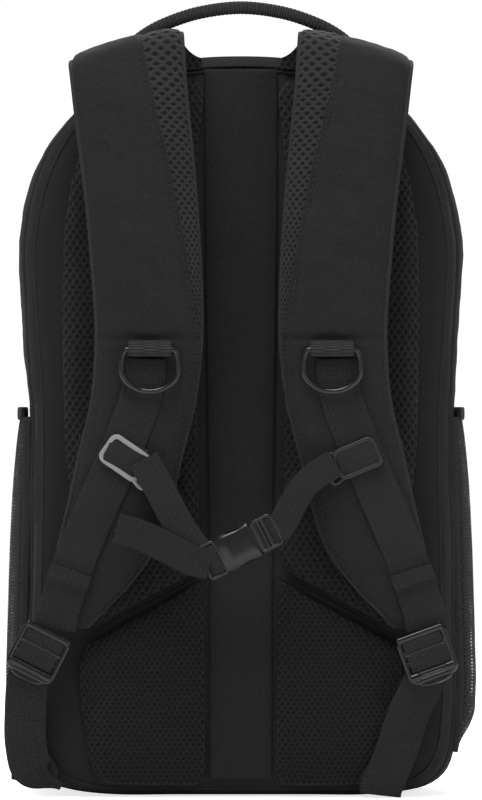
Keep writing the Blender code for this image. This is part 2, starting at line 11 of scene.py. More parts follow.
import bmesh
import bpy
import numpy as np
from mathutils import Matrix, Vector


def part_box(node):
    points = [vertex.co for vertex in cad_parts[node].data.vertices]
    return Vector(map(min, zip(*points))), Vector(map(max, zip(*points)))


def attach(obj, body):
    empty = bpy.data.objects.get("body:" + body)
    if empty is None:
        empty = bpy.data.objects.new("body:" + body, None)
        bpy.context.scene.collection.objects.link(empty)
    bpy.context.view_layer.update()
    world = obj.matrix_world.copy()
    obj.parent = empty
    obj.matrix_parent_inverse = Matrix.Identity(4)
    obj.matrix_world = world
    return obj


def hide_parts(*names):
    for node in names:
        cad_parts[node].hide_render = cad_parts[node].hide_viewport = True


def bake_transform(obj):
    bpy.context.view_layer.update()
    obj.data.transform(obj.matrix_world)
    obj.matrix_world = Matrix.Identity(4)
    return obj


LOG = logging.getLogger("backpack")
MM = 0.001
Array = np.ndarray
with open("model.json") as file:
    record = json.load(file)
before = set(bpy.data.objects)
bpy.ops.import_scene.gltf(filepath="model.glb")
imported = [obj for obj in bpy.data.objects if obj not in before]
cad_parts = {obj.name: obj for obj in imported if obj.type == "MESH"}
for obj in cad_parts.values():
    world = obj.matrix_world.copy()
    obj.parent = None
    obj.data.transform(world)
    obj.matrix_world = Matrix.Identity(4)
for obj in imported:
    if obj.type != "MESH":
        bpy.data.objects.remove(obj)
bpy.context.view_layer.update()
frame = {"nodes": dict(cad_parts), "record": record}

# The frame's depths are written from a plane near the back, and this offset centres them as the frame is.
CENTRE = 5.26
LEFT, RIGHT = -1, 1
SIDES = {LEFT: "left", RIGHT: "right"}


# ---------------------------------------------------------------- shapes


def spline(table: Array, at: Array) -> Array:
    """Catmull-Rom curve through a table's rows: a cubic leaves each row along its neighbours' chord.

    Args:
        table: rows of values.
        at: places along the table, 0 at its first row and 1 more at each next one.

    Returns:
        One row of values for each place.
    """
    table = np.asarray(table, float)
    ends = np.vstack([2 * table[0] - table[1], table, 2 * table[-1] - table[-2]])
    at = np.clip(np.asarray(at, float), 0, len(table) - 1)
    i = np.minimum(at.astype(int), len(table) - 2)
    t = (at - i)[:, None]
    a, b, c, d = ends[i], ends[i + 1], ends[i + 2], ends[i + 3]
    return 0.5 * (2 * b + (c - a) * t + (2 * a - 5 * b + 4 * c - d) * t**2 + (3 * b - a - 3 * c + d) * t**3)


def even(table: Array, count: int) -> Array:
    """A spline's points at even steps of its own length.

    Args:
        table: the points to run through.
        count: how many points to give.

    Returns:
        That many points.
    """
    fine = spline(table, np.linspace(0, len(table) - 1, 40 * len(table)))
    run = np.concatenate([[0], np.cumsum(np.linalg.norm(np.diff(fine, axis=0), axis=1))])
    want = np.linspace(0, run[-1], count)
    return np.stack([np.interp(want, run, fine[:, k]) for k in range(fine.shape[1])], axis=1)


def unit(vectors: Array) -> Array:
    """Vectors over their own lengths."""
    return vectors / np.maximum(np.linalg.norm(vectors, axis=-1, keepdims=True), 1e-12)


def smoothstep(low: float, high: float, value: Array) -> Array:
    """0 below low, 1 above high, and a cubic ramp between."""
    t = np.clip((np.asarray(value, float) - low) / (high - low), 0, 1)
    return t * t * (3 - 2 * t)


def ripple(points: Array, wave: float, seed: int, octaves: int = 3) -> Array:
    """Soft noise in about -1 to 1: a sum of sines along seeded directions, each octave half as long and high.

    Args:
        points: places, any shape ending in 3.
        wave: the longest wavelength, in metres.
        seed: picks the directions and phases.
        octaves: how many octaves are added.

    Returns:
        One value for each place.
    """
    draw = np.random.default_rng(seed)
    total = np.zeros(points.shape[:-1])
    for octave in range(octaves):
        for _ in range(4):
            way = unit(draw.normal(size=3))
            phase = draw.uniform(0, 2 * math.pi)
            total += 0.5**octave * np.sin(points @ way * (2 * math.pi * 2**octave / wave) + phase) / 2
    return total / 1.5


def loop_profile(half_wide: float, half_thick: float, power: float, count: int) -> Array:
    """A superellipse's outline: each coordinate is a half size times a power of the cosine or the sine.

    Args:
        half_wide: half of its width.
        half_thick: half of its thickness.
        power: how square it is; 2 is an ellipse.
        count: how many points to give.

    Returns:
        The points, once round.
    """
    angle = np.linspace(0, 2 * math.pi, count, endpoint=False) + math.pi / count
    c, s = np.cos(angle), np.sin(angle)
    wide = half_wide * np.sign(c) * np.abs(c) ** (2 / power)
    thick = half_thick * np.sign(s) * np.abs(s) ** (2 / power)
    return np.stack([wide, thick], axis=1)


def rounded_loop(half_x: float, half_y: float, radius: float, count: int) -> Array:
    """A rectangle with round corners, as points at even steps: four straights and four quarter circles.

    Args:
        half_x: half of its width.
        half_y: half of its height.
        radius: radius of its corners.
        count: how many points to give.

    Returns:
        The points, once round.
    """
    turns = np.linspace(0, 2 * math.pi, 64, endpoint=False)
    corner = np.stack([np.cos(turns), np.sin(turns)], axis=1)
    centre = np.stack([np.sign(corner[:, 0]) * (half_x - radius), np.sign(corner[:, 1]) * (half_y - radius)],
                      axis=1)
    points = centre + radius * corner
    return even_loop(points, count)


def even_loop(points: Array, count: int) -> Array:
    """A closed outline's points at even steps of its length.

    Args:
        points: the outline.
        count: how many points to give.

    Returns:
        The points, once round.
    """
    closed = np.vstack([points, points[:1]])
    run = np.concatenate([[0], np.cumsum(np.linalg.norm(np.diff(closed, axis=0), axis=1))])
    want = np.linspace(0, run[-1], count, endpoint=False)
    return np.stack([np.interp(want, run, closed[:, k]) for k in range(closed.shape[1])], axis=1)


def grid_normals(grid: Array, wrap_rows: bool = False, wrap_columns: bool = False) -> Array:
    """Normals of a grid of points: the cross product of its steps across and along.

    Args:
        grid: rows and columns of points.
        wrap_rows: whether the last row meets the first.
        wrap_columns: whether the last column meets the first.

    Returns:
        A unit normal for each point.
    """
    def step(axis: int, wrap: bool) -> Array:
        """Central difference along one axis of the grid."""
        return np.roll(grid, -1, axis) - np.roll(grid, 1, axis) if wrap else np.gradient(grid, axis=axis)

    return unit(np.cross(step(1, wrap_columns), step(0, wrap_rows)))


@dataclass
class Sheet:
    """A grid of points that becomes a mesh: open, a tube with closed ends, or a ring."""

    grid: Array
    wrap_rows: bool = False
    wrap_columns: bool = False
    caps: bool = False

    def lengths(self) -> Array:
        """Each point's run across and along the grid, in metres, as its UV place.

        Returns:
            The run across and the run along, for each point.
        """
        across = np.linalg.norm(np.diff(self.grid, axis=1), axis=2).mean(axis=0)
        along = np.linalg.norm(np.diff(self.grid, axis=0), axis=2).mean(axis=1)
        u = np.concatenate([[0], np.cumsum(across)])
        v = np.concatenate([[0], np.cumsum(along)])
        if self.wrap_columns:
            u = np.concatenate([u, [u[-1] + np.linalg.norm(self.grid[:, 0] - self.grid[:, -1],
                                                           axis=1).mean()]])
        if self.wrap_rows:
            v = np.concatenate([v, [v[-1] + np.linalg.norm(self.grid[0] - self.grid[-1], axis=1).mean()]])
        return np.stack(np.broadcast_arrays(u[None, :], v[:, None]), axis=2)

    def parts(self) -> tuple[Array, Array, Array]:
        """Points, quads and each quad corner's UV. A quad joins a point to the next across and along.

        Returns:
            The points, the quads and the UV of their corners.
        """
        rows, columns = self.grid.shape[:2]
        i = np.arange(rows if self.wrap_rows else rows - 1)[:, None]
        j = np.arange(columns if self.wrap_columns else columns - 1)[None, :]
        i2, j2 = (i + 1) % rows, (j + 1) % columns
        quads = np.stack(np.broadcast_arrays(
            i * columns + j, i * columns + j2, i2 * columns + j2, i2 * columns + j), axis=-1).reshape(-1, 4)
        runs = self.lengths()
        corners = np.stack([runs[i, j], runs[i, j + 1], runs[i + 1, j + 1], runs[i + 1, j]],
                           axis=2).reshape(-1, 4, 2)
        return self.grid.reshape(-1, 3), quads, corners


def build(name: str, *sheets: Sheet) -> bpy.types.Object:
    """Joins sheets into one mesh object with a UV map in metres.

    Args:
        name: the piece's name.
        sheets: the surfaces it is made of.

    Returns:
        The object, at the origin.
    """
    points, faces, uvs, base = [], [], [], 0
    for sheet in sheets:
        place, quads, corners = sheet.parts()
        points.append(place)
        faces += (quads + base).tolist()
        uvs.append(corners.reshape(-1, 2))
        if sheet.caps:
            rows, columns = sheet.grid.shape[:2]
            ends = np.arange(columns)
            for ring in (ends[::-1], ends + (rows - 1) * columns):
                centre = len(place) + base
                points.append(place[ring].mean(axis=0)[None])
                fan = [[int(ring[k] + base), int(ring[(k + 1) % columns] + base),
                        centre] for k in range(columns)]
                faces += fan
                uvs.append(np.zeros((3 * columns, 2)))
                place = np.vstack([place, place[:1]])
            base += 2
        base += sheet.grid.shape[0] * sheet.grid.shape[1]
    mesh = bpy.data.meshes.new(name)
    mesh.from_pydata(np.vstack(points), [], faces)
    layer = mesh.uv_layers.new(name="run")
    layer.data.foreach_set("uv", np.vstack(uvs).astype(np.float32).ravel())
    mesh.shade_smooth()
    mesh.update()
    thing = bpy.data.objects.new(name, mesh)
    bpy.context.scene.collection.objects.link(thing)
    return thing


def outward(thing: bpy.types.Object) -> bpy.types.Object:
    """Merges doubles, then turns every face out of a closed mesh.

    Args:
        thing: a closed mesh.

    Returns:
        The same object.
    """
    work = bmesh.new()
    work.from_mesh(thing.data)
    bmesh.ops.remove_doubles(work, verts=work.verts, dist=1e-6)
    bmesh.ops.recalc_face_normals(work, faces=work.faces)
    if work.calc_volume(signed=True) < 0:
        bmesh.ops.reverse_faces(work, faces=work.faces)
    work.to_mesh(thing.data)
    work.free()
    return thing


def carried(path: Array, up: Array, profile: Array, closed: bool = False,
            scale: Array | None = None) -> Sheet:
    """A profile carried along a path.

    A profile point's first number runs across the path, and its second along the up direction, squared
    to the path.

    Args:
        path: points, or a loop of them.
        up: the direction of the band's face, one for all or one for each point.
        profile: closed outline, wide and thick.
        closed: whether the path is a loop.
        scale: factors on the profile at each path point, one or two numbers each.

    Returns:
        The swept sheet, with closed ends where the path is open.
    """
    path = np.asarray(path, float)
    tangent = np.roll(path, -1, 0) - np.roll(path, 1, 0) if closed else np.gradient(path, axis=0)
    tangent = unit(tangent)
    up = np.broadcast_to(np.asarray(up, float), path.shape)
    up = unit(up - tangent * (up * tangent).sum(axis=1, keepdims=True))
    side = np.cross(tangent, up)
    scale = np.ones((len(path), 2)) if scale is None else np.asarray(scale, float).reshape(len(path),
                                                                                           -1) * np.ones(2)
    wide = profile[None, :, 0, None] * scale[:, None, :1]
    thick = profile[None, :, 1, None] * scale[:, None, 1:]
    grid = path[:, None, :] + wide * side[:, None, :] + thick * up[:, None, :]
    return Sheet(grid, wrap_rows=closed, wrap_columns=True, caps=not closed)


# ---------------------------------------------------------------- finishes


class Follow(Enum):
    """What a pattern follows: the surface's own run, or the object's space turned to the back's plane."""

    RUN = "UV"
    SPACE = "Object"


class Nodes:
    """A node tree with short calls for adding and linking nodes."""

    def __init__(self, tree: bpy.types.NodeTree) -> None:
        """Keeps the tree that nodes are added to."""
        self.tree = tree

    def add(self, kind: str, inputs: dict | None = None, **settings: object) -> bpy.types.Node:
        """Adds a node, sets its fields, and links or sets its inputs.

        Args:
            kind: the node's type name without its ShaderNode prefix.
            inputs: socket name or number to a value or to another node's output.
            settings: the node's own fields.

        Returns:
            The node.
        """
        node = self.tree.nodes.new("ShaderNode" + kind)
        for name, value in settings.items():
            setattr(node, name, value)
        for key, value in (inputs or {}).items():
            if isinstance(value, bpy.types.NodeSocket):
                self.tree.links.new(value, node.inputs[key])
            else:
                node.inputs[key].default_value = value
        return node

    def math(self, operation: str, *values: object) -> bpy.types.NodeSocket:
        """One Math node's result."""
        return self.add("Math", dict(enumerate(values)), operation=operation).outputs[0]


class Groups:
    """Shared shader groups, each made once. They put out masks, heights and colours only."""

    made: dict[str, bpy.types.NodeTree] = {}

    @classmethod
    def start(cls, name: str, inputs: list[tuple[str, str, object]], outputs: list[str]) -> tuple[Nodes, dict,
                                                                                                  object]:
        """Opens a new group with named sockets.

        Args:
            name: the group's name.
            inputs: name, socket type and first value of each input.
            outputs: names of the number outputs.

        Returns:
            The node helper, the inputs by name, and the output node.
        """
        tree = bpy.data.node_groups.new(name, "ShaderNodeTree")
        for label, kind, value in inputs:
            socket = tree.interface.new_socket(label, in_out="INPUT", socket_type="NodeSocket" + kind)
            if kind == "Float":
                socket.default_value = value
        for label in outputs:
            tree.interface.new_socket(label, in_out="OUTPUT", socket_type="NodeSocketFloat")
        cls.made[name] = tree
        source = tree.nodes.new("NodeGroupInput")
        return Nodes(tree), source.outputs, tree.nodes.new("NodeGroupOutput")

    @classmethod
    def weave(cls) -> bpy.types.NodeTree:
        """Plain weave: the product of two sines, one along each thread, and slow slubs in the yarn.

        Returns:
            The shared group.
        """
        if "weave" not in cls.made:
            n, given, out = cls.start("weave", [("Vector", "Vector", None), ("Pitch", "Float", 0.0006)],
                                      ["Height", "Tone"])
            spot = n.add("SeparateXYZ", {0: given["Vector"]})
            turn = n.math("DIVIDE", 2 * math.pi, given["Pitch"])
            warp = n.math("SINE", n.math("MULTIPLY", spot.outputs[0], turn))
            weft = n.math("SINE", n.math("MULTIPLY", spot.outputs[1], turn))
            cross = n.math("MULTIPLY", warp, weft)
            n.tree.links.new(n.math("MULTIPLY_ADD", cross, 0.5, 0.5), out.inputs["Height"])
            slub = n.add("TexNoise", {"Vector": given["Vector"], "Scale": 900.0, "Detail": 1.0})
            n.tree.links.new(n.math("MULTIPLY_ADD", cross, 0.12, slub.outputs[0]), out.inputs["Tone"])
        return cls.made["weave"]

    @classmethod
    def cells(cls) -> bpy.types.NodeTree:
        """Spacer mesh: soft diamond holes on a staggered lattice.

        The distance to a hole is the least over two lattices, halfway between the round distance and the
        diamond one, on places that wander a little.

        Returns:
            The shared group.
        """
        if "cells" not in cls.made:
            n, given, out = cls.start("cells", [("Vector", "Vector", None), ("Pitch", "Float", 0.0042),
                                                ("Hole", "Float", 0.3)], ["Strand", "Height"])
            drift = n.add("TexNoise", {"Vector": given["Vector"], "Scale": 55.0, "Detail": 1.0})
            drift = n.add("VectorMath", {0: drift.outputs[1], 1: (0.0022, 0.0022, 0.0), 2: given["Vector"]},
                          operation="MULTIPLY_ADD")
            spot = n.add("SeparateXYZ", {0: drift.outputs[0]})
            a = n.math("DIVIDE", spot.outputs[0], given["Pitch"])
            b = n.math("DIVIDE", n.math("DIVIDE", spot.outputs[1], given["Pitch"]), 1.55)
            gaps = []
            for shift in (0.0, 0.5):
                x = n.math("SUBTRACT", n.math("FRACT", n.math("ADD", a, shift)), 0.5)
                y = n.math("MULTIPLY", n.math("SUBTRACT", n.math("FRACT", n.math("ADD", b, shift)), 0.5),
                           1.55)
                square = n.math("ADD", n.math("MULTIPLY", x, x),
                                n.math("MULTIPLY", n.math("MULTIPLY", y, y), 0.7))
                sum_of = n.math("ADD", n.math("ABSOLUTE", x), n.math("MULTIPLY", n.math("ABSOLUTE", y), 0.72))
                gaps.append(n.math("MULTIPLY_ADD", n.math("SQRT", square), 0.55,
                                   n.math("MULTIPLY", sum_of, 0.42)))
            near = n.math("MINIMUM", *gaps)
            ramp = n.add("MapRange", {0: near, 1: n.math("MULTIPLY", given["Hole"], 0.75), 2: given["Hole"]},
                         interpolation_type="SMOOTHSTEP")
            n.tree.links.new(ramp.outputs[0], out.inputs["Strand"])
            dome = n.add("MapRange", {0: near, 1: n.math("MULTIPLY", given["Hole"], 0.6),
                                      2: n.math("MULTIPLY", given["Hole"], 1.7)},
                                      interpolation_type="SMOOTHSTEP")
            n.tree.links.new(dome.outputs[0], out.inputs["Height"])
        return cls.made["cells"]

    @classmethod
    def ribs(cls) -> bpy.types.NodeTree:
        """Webbing: cross ribs as the size of a sine along the band, split by a finer sine across it.

        Returns:
            The shared group.
        """
        if "ribs" not in cls.made:
            n, given, out = cls.start("ribs", [("Vector", "Vector", None), ("Pitch", "Float", 0.0015),
                                               ("Cord", "Float", 0.0022)], ["Height", "Tone"])
            spot = n.add("SeparateXYZ", {0: given["Vector"]})
            across = n.math("SINE",
                            n.math("MULTIPLY", spot.outputs[0], n.math("DIVIDE", math.pi, given["Cord"])))
            shift = n.math("MULTIPLY", n.math("GREATER_THAN", across, 0.0),
                           n.math("MULTIPLY", given["Pitch"], 0.5))
            run = n.math("MULTIPLY", n.math("ADD", spot.outputs[1], shift),
                         n.math("DIVIDE", math.pi, given["Pitch"]))
            rib = n.math("ABSOLUTE", n.math("SINE", run))
            height = n.math("MULTIPLY", rib, n.math("MULTIPLY_ADD", n.math("ABSOLUTE", across), 0.35, 0.65))
            n.tree.links.new(height, out.inputs["Height"])
            # The tone is the rib height, as painted shade in the grooves and painted highlight on the tops,
            # plus fine flecks.
            fleck = n.add("TexNoise", {"Vector": given["Vector"], "Scale": 1200.0, "Detail": 1.0})
            n.tree.links.new(n.math("MULTIPLY_ADD", height, 0.75, n.math("MULTIPLY", fleck.outputs[0], 0.3)),
                             out.inputs["Tone"])
        return cls.made["ribs"]

    @classmethod
    def patina(cls) -> bpy.types.NodeTree:
        """Uneven tone over the surface: broad noise for handling, and fine noise for lint and dust.

        Returns:
            The shared group.
        """
        if "patina" not in cls.made:
            n, given, out = cls.start("patina", [("Vector", "Vector", None), ("Broad", "Float", 22.0),
                                                 ("Fine", "Float", 700.0)], ["Tone", "Fuzz"])
            broad = n.add("TexNoise", {"Vector": given["Vector"], "Scale": given["Broad"], "Detail": 4.0})
            fine = n.add("TexNoise", {"Vector": given["Vector"], "Scale": given["Fine"], "Detail": 2.0})
            n.tree.links.new(broad.outputs[0], out.inputs["Tone"])
            n.tree.links.new(fine.outputs[0], out.inputs["Fuzz"])
        return cls.made["patina"]


@dataclass(frozen=True)
class Finish:
    """What every finish has: a colour, its roughness, and how much its tone varies."""

    name: str
    colour: tuple[float, float, float]
    roughness: float = 0.85
    variation: float = 0.25

    def open(self) -> tuple[bpy.types.Material, Nodes, bpy.types.Node]:
        """A new material with its node helper and shader.

        Returns:
            The material, the helper and the shader.
        """
        material = bpy.data.materials.new(self.name)
        material.use_nodes = True
        material.diffuse_color = (*self.colour, 1)
        nodes = Nodes(material.node_tree)
        shader = material.node_tree.nodes["Principled BSDF"]
        shader.inputs["Base Color"].default_value = (*self.colour, 1)
        shader.inputs["Roughness"].default_value = self.roughness
        shader.inputs["Specular IOR Level"].default_value = 0.25
        return material, nodes, shader

    def toned(self, n: Nodes, tone: bpy.types.NodeSocket, low: float, high: float) -> bpy.types.NodeSocket:
        """The finish's colour times a factor that runs from low to high with the tone.

        Args:
            n: the node helper.
            tone: the tone, from 0 to 1.
            low: factor at tone 0.
            high: factor at tone 1.

        Returns:
            The colour.
        """
        factor = n.add("MapRange", {0: tone, 1: 0.0, 2: 1.0, 3: low, 4: high}).outputs[0]
        scaled = n.add("VectorMath", {0: self.colour}, operation="SCALE")
        n.tree.links.new(factor, scaled.inputs["Scale"])
        return scaled.outputs[0]

    def place(self, n: Nodes, follow: Follow) -> bpy.types.NodeSocket:
        """The pattern's places. In space, X runs across the back and Y up it.

        Args:
            n: the node helper.
            follow: what the pattern follows.

        Returns:
            The places, as a vector.
        """
        coordinate = n.add("TexCoord").outputs[follow.value]
        if follow is Follow.RUN:
            return coordinate
        return n.add("Mapping", {"Vector": coordinate, "Rotation": (-math.pi / 2, 0, 0)}).outputs[0]

    def group(self, n: Nodes, tree: bpy.types.NodeTree, **inputs: object) -> bpy.types.Node:
        """Places a shared group and sets its inputs by name.

        Args:
            n: the node helper.
            tree: the shared group.
            inputs: values or sockets for its inputs.

        Returns:
            The group's node.
        """
        node = n.add("Group", node_tree=tree)
        for key, value in inputs.items():
            if isinstance(value, bpy.types.NodeSocket):
                n.tree.links.new(value, node.inputs[key])
            else:
                node.inputs[key].default_value = value
        return node

    def bump(self, n: Nodes, shader: bpy.types.Node, height: bpy.types.NodeSocket, distance: float,
             strength: float = 1.0, under: bpy.types.NodeSocket | None = None) -> bpy.types.NodeSocket:
        """Feeds a height to the shader's normal through a Bump node, over another normal where one is given.

        Args:
            n: the node helper.
            shader: the shader that takes the normal.
            height: the height, from 0 to 1.
            distance: the relief, in metres.
            strength: share of the relief that shows.
            under: a normal to lay it over.

        Returns:
            The new normal.
        """
        inputs = {"Height": height, "Distance": distance, "Strength": strength}
        if under is not None:
            inputs["Normal"] = under
        made = n.add("Bump", inputs).outputs[0]
        n.tree.links.new(made, shader.inputs["Normal"])
        return made


@dataclass(frozen=True)
class Cloth(Finish):
    """Woven polyester: fine weave, a little sheen, and soft uneven tone."""

    pitch: float = 0.55 * MM
    sheen: float = 0.05
    follow: Follow = Follow.RUN

    def make(self) -> bpy.types.Material:
        """The material.

        Returns:
            The material.
        """
        material, n, shader = self.open()
        at = self.place(n, self.follow)
        weave = self.group(n, Groups.weave(), Vector=at, Pitch=self.pitch)
        patina = self.group(n, Groups.patina(), Vector=n.add("TexCoord").outputs["Object"], Broad=26.0,
                            Fine=850.0)
        fuzz = n.add("MapRange", {0: patina.outputs["Fuzz"], 1: 0.32, 2: 0.68}).outputs[0]
        tone = n.math("ADD", n.math("MULTIPLY", weave.outputs["Tone"], 0.3),
                      n.math("MULTIPLY", patina.outputs[0], 0.25))
        tone = n.math("MULTIPLY_ADD", fuzz, 0.45, tone)
        colour = self.toned(n, tone, 1 - self.variation * 2.4, 1 + self.variation * 2.4)
        n.tree.links.new(colour, shader.inputs["Base Color"])
        shader.inputs["Sheen Weight"].default_value = self.sheen
        shader.inputs["Sheen Roughness"].default_value = 0.5
        soft = self.bump(n, shader, patina.outputs["Tone"], 1.6 * MM, 0.6)
        self.bump(n, shader, weave.outputs["Height"], 0.12 * MM, 0.7, soft)
        return material


@dataclass(frozen=True)
class AirMesh(Finish):
    """Spacer mesh: knitted strands round open holes, with painted shade inside each hole."""

    pitch: float = 4.2 * MM
    hole: float = 0.3
    depth: float = 0.7 * MM
    hole_shade: float = 0.16
    see_through: bool = False
    follow: Follow = Follow.RUN

    def make(self) -> bpy.types.Material:
        """The material.

        Returns:
            The material.
        """
        material, n, shader = self.open()
        at = self.place(n, self.follow)
        cells = self.group(n, Groups.cells(), Vector=at, Pitch=self.pitch, Hole=self.hole)
        weave = self.group(n, Groups.weave(), Vector=at, Pitch=0.7 * MM)
        patina = self.group(n, Groups.patina(), Vector=n.add("TexCoord").outputs["Object"], Broad=18.0,
                            Fine=500.0)
        strand = self.toned(n, n.math("MULTIPLY_ADD", patina.outputs["Tone"], 0.6,
                                      n.math("MULTIPLY", weave.outputs["Tone"], 0.4)),
                            1 - self.variation * 2, 1 + self.variation * 2)
        # Each hole gets the mesh colour darkened nearly to black: painted shade inside the holes.
        dark = n.add("Mix",
                     {0: cells.outputs["Strand"], 6: (*(c * self.hole_shade for c in self.colour), 1), 7: strand},
                     data_type="RGBA")
        n.tree.links.new(dark.outputs[2], shader.inputs["Base Color"])
        shader.inputs["Sheen Weight"].default_value = 0.05
        if self.see_through:
            n.tree.links.new(cells.outputs["Strand"], shader.inputs["Alpha"])
        low = self.bump(n, shader, cells.outputs["Height"], self.depth, 1.0)
        self.bump(n, shader, weave.outputs["Height"], 0.1 * MM, 0.6, low)
        return material


@dataclass(frozen=True)
class Webbing(Finish):
    """Ribbed webbing: cross ribs in two staggered sets, with painted highlight on their tops and painted
    shade in the grooves.
    """

    pitch: float = 1.25 * MM
    cord: float = 3.0 * MM
    relief: float = 0.8 * MM

    def make(self) -> bpy.types.Material:
        """The material.

        Returns:
            The material.
        """
        material, n, shader = self.open()
        at = n.add("TexCoord").outputs["UV"]
        ribs = self.group(n, Groups.ribs(), Vector=at, Pitch=self.pitch, Cord=self.cord)
        patina = self.group(n, Groups.patina(), Vector=n.add("TexCoord").outputs["Object"], Broad=40.0,
                            Fine=900.0)
        # The colour follows the rib height: grooves painted darker as shade, rib tops painted lighter as
        # highlight.
        tone = n.math("MULTIPLY_ADD", patina.outputs["Tone"], 0.2,
                      n.math("MULTIPLY", ribs.outputs["Tone"], 1.0))
        n.tree.links.new(self.toned(n, tone, 0.1, 1.9), shader.inputs["Base Color"])
        shader.inputs["Sheen Weight"].default_value = 0.04
        self.bump(n, shader, ribs.outputs["Height"], self.relief, 1.0)
        return material


@dataclass(frozen=True)
class Moulded(Finish):
    """Moulded or cast fittings: fine grain, handling marks in the gloss, and a clear coat or metal."""

    metallic: float = 0.0
    grain: float = 0.05
    coat: float = 0.0

    def make(self) -> bpy.types.Material:
        """The material.

        Returns:
            The material.
        """
        material, n, shader = self.open()
        at = n.add("TexCoord").outputs["Object"]
        patina = self.group(n, Groups.patina(), Vector=at, Broad=120.0, Fine=2600.0)
        n.tree.links.new(self.toned(n, patina.outputs["Tone"], 1 - self.variation, 1 + self.variation),
                         shader.inputs["Base Color"])
        gloss = n.add("MapRange",
                      {0: patina.outputs["Tone"], 3: self.roughness * 0.8, 4: self.roughness * 1.25})
        n.tree.links.new(gloss.outputs[0], shader.inputs["Roughness"])
        shader.inputs["Metallic"].default_value = self.metallic
        shader.inputs["Specular IOR Level"].default_value = 0.5
        shader.inputs["Coat Weight"].default_value = self.coat
        self.bump(n, shader, patina.outputs["Fuzz"], self.grain * MM, 0.5)
        return material


class Palette:
    """The pack's finishes, each made once and given out by name."""

    FACE = Cloth("face_cloth", (0.0135, 0.0135, 0.0138))
    SPINE = Cloth("spine_cloth", (0.0135, 0.0135, 0.0138), follow=Follow.SPACE)
    GUSSET = Cloth("gusset_cloth", (0.0145, 0.0145, 0.0148))
    PAD_MESH = AirMesh("pad_mesh", (0.0115, 0.0115, 0.012), hole=0.27, pitch=4.3 * MM, hole_shade=0.06,
                       depth=1.0 * MM, follow=Follow.SPACE)
    # A darker copy of the pad mesh for the lower pads: painted shade low on the back.
    SHADED_LOW_MESH = AirMesh("shaded_low_mesh", (0.0088, 0.0088, 0.0093), hole=0.28, pitch=3.5 * MM, hole_shade=0.06,
                       depth=1.0 * MM, follow=Follow.SPACE)
    # A lighter copy of the pad mesh for the strap's rolled edge: painted highlight.
    LIT_ROLL_MESH = AirMesh("lit_roll_mesh", (0.0235, 0.0235, 0.024), hole=0.24, pitch=3.5 * MM, depth=1.3 * MM,
                        hole_shade=0.05)
    POCKET_MESH = AirMesh("pocket_mesh", (0.018, 0.018, 0.0185), pitch=2.6 * MM, hole=0.25, depth=0.2 * MM,
                          see_through=True)
    WEB = Webbing("webbing", (0.0155, 0.0155, 0.0158))
    HANDLE = Webbing("handle_webbing", (0.021, 0.021, 0.0215), pitch=1.6 * MM, cord=9 * MM, relief=0.6 * MM)
    BINDING = Webbing("binding", (0.018, 0.018, 0.0185), pitch=1.1 * MM, cord=3 * MM, relief=0.2 * MM)
    # Dark tape; on the pad creases its darkness also stands for painted shade.
    TAPE = Webbing("zip_tape", (0.011, 0.011, 0.0115), pitch=0.9 * MM, cord=1.2 * MM, relief=0.15 * MM)
    THREAD = Moulded("thread", (0.0135, 0.0135, 0.014), roughness=0.7)
    LINING = Cloth("lining_cloth", (0.06, 0.06, 0.065), follow=Follow.SPACE)
    BLACK = Moulded("black_acetal", (0.008, 0.008, 0.0085), roughness=0.36)
    # The left slider's grey: painted highlight of the gloss on a slider like the black one.
    HIGHLIT_GREY = Moulded("highlit_grey_acetal", (0.27, 0.27, 0.275), roughness=0.4, variation=0.08)
    GLOSS = Moulded("gloss_acetal", (0.006, 0.006, 0.0065), roughness=0.2, grain=0.02, coat=0.2)
    METAL = Moulded("dark_zinc", (0.05, 0.05, 0.055), roughness=0.32, metallic=0.9)
    ready: dict[str, bpy.types.Material] = {}

    @classmethod
    def of(cls, finish: Finish) -> bpy.types.Material:
        """The finish's material.

        Args:
            finish: one of the finishes.

        Returns:
            Its material, made at the first call.
        """
        if finish.name not in cls.ready:
            cls.ready[finish.name] = finish.make()
        return cls.ready[finish.name]


def dress(thing: bpy.types.Object, *finishes: Finish) -> bpy.types.Object:
    """Gives an object its materials, in slot order.

    Args:
        thing: the piece.
        finishes: its finishes.

    Returns:
        The same object.
    """
    thing.data.materials.clear()
    for finish in finishes:
        thing.data.materials.append(Palette.of(finish))
    return thing


def settle(thing: bpy.types.Object, body: str, slot: str, *nodes: str) -> bpy.types.Object:
    """Rides a piece on a body, hides the nodes that it stands for, and reports it.

    Args:
        thing: the piece.
        body: the body that it rides on.
        slot: not used.
        nodes: the nodes that it stands for.

    Returns:
        The same object.
    """
    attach(thing, body)
    if nodes:
        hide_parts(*nodes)
    LOG.info("%s rides on %s, %d points", thing.name, body, len(thing.data.vertices))
    return thing


def span(thing: bpy.types.Object, bodies: tuple[str, str], start: Array, end: Array, slot: str,
         *nodes: str) -> None:
    """Bakes a piece's place into its mesh, hides the nodes that it stands for, and reports the two bodies
    that it lies between.

    Args:
        thing: the piece.
        bodies: the two bodies.
        start: not used.
        end: not used.
        slot: not used.
        nodes: the nodes that it stands for.
    """
    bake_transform(thing)
    if nodes:
        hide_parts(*nodes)
    LOG.info("%s bends between %s and %s, %d points", thing.name, *bodies, len(thing.data.vertices))


def solidify(thing: bpy.types.Object, thickness: float, offset: float = -1.0) -> bpy.types.Object:
    """Gives a sheet its wall, inwards from its face unless told otherwise.

    Args:
        thing: the sheet.
        thickness: the wall, in metres.
        offset: where the wall lies; -1 is wholly inwards.

    Returns:
        The same object.
    """
    wall = thing.modifiers.new("wall", "SOLIDIFY")
    wall.thickness = thickness
    wall.offset = offset
    wall.use_even_offset = False
    return thing


# ---------------------------------------------------------------- the pack's own shape


def at_mm(points: Array) -> Array:
    """Millimetres from the frame's first plane, turned into metres in the shared frame."""
    points = np.asarray(points, float)
    return (points + np.array([0, CENTRE, 0])) * MM


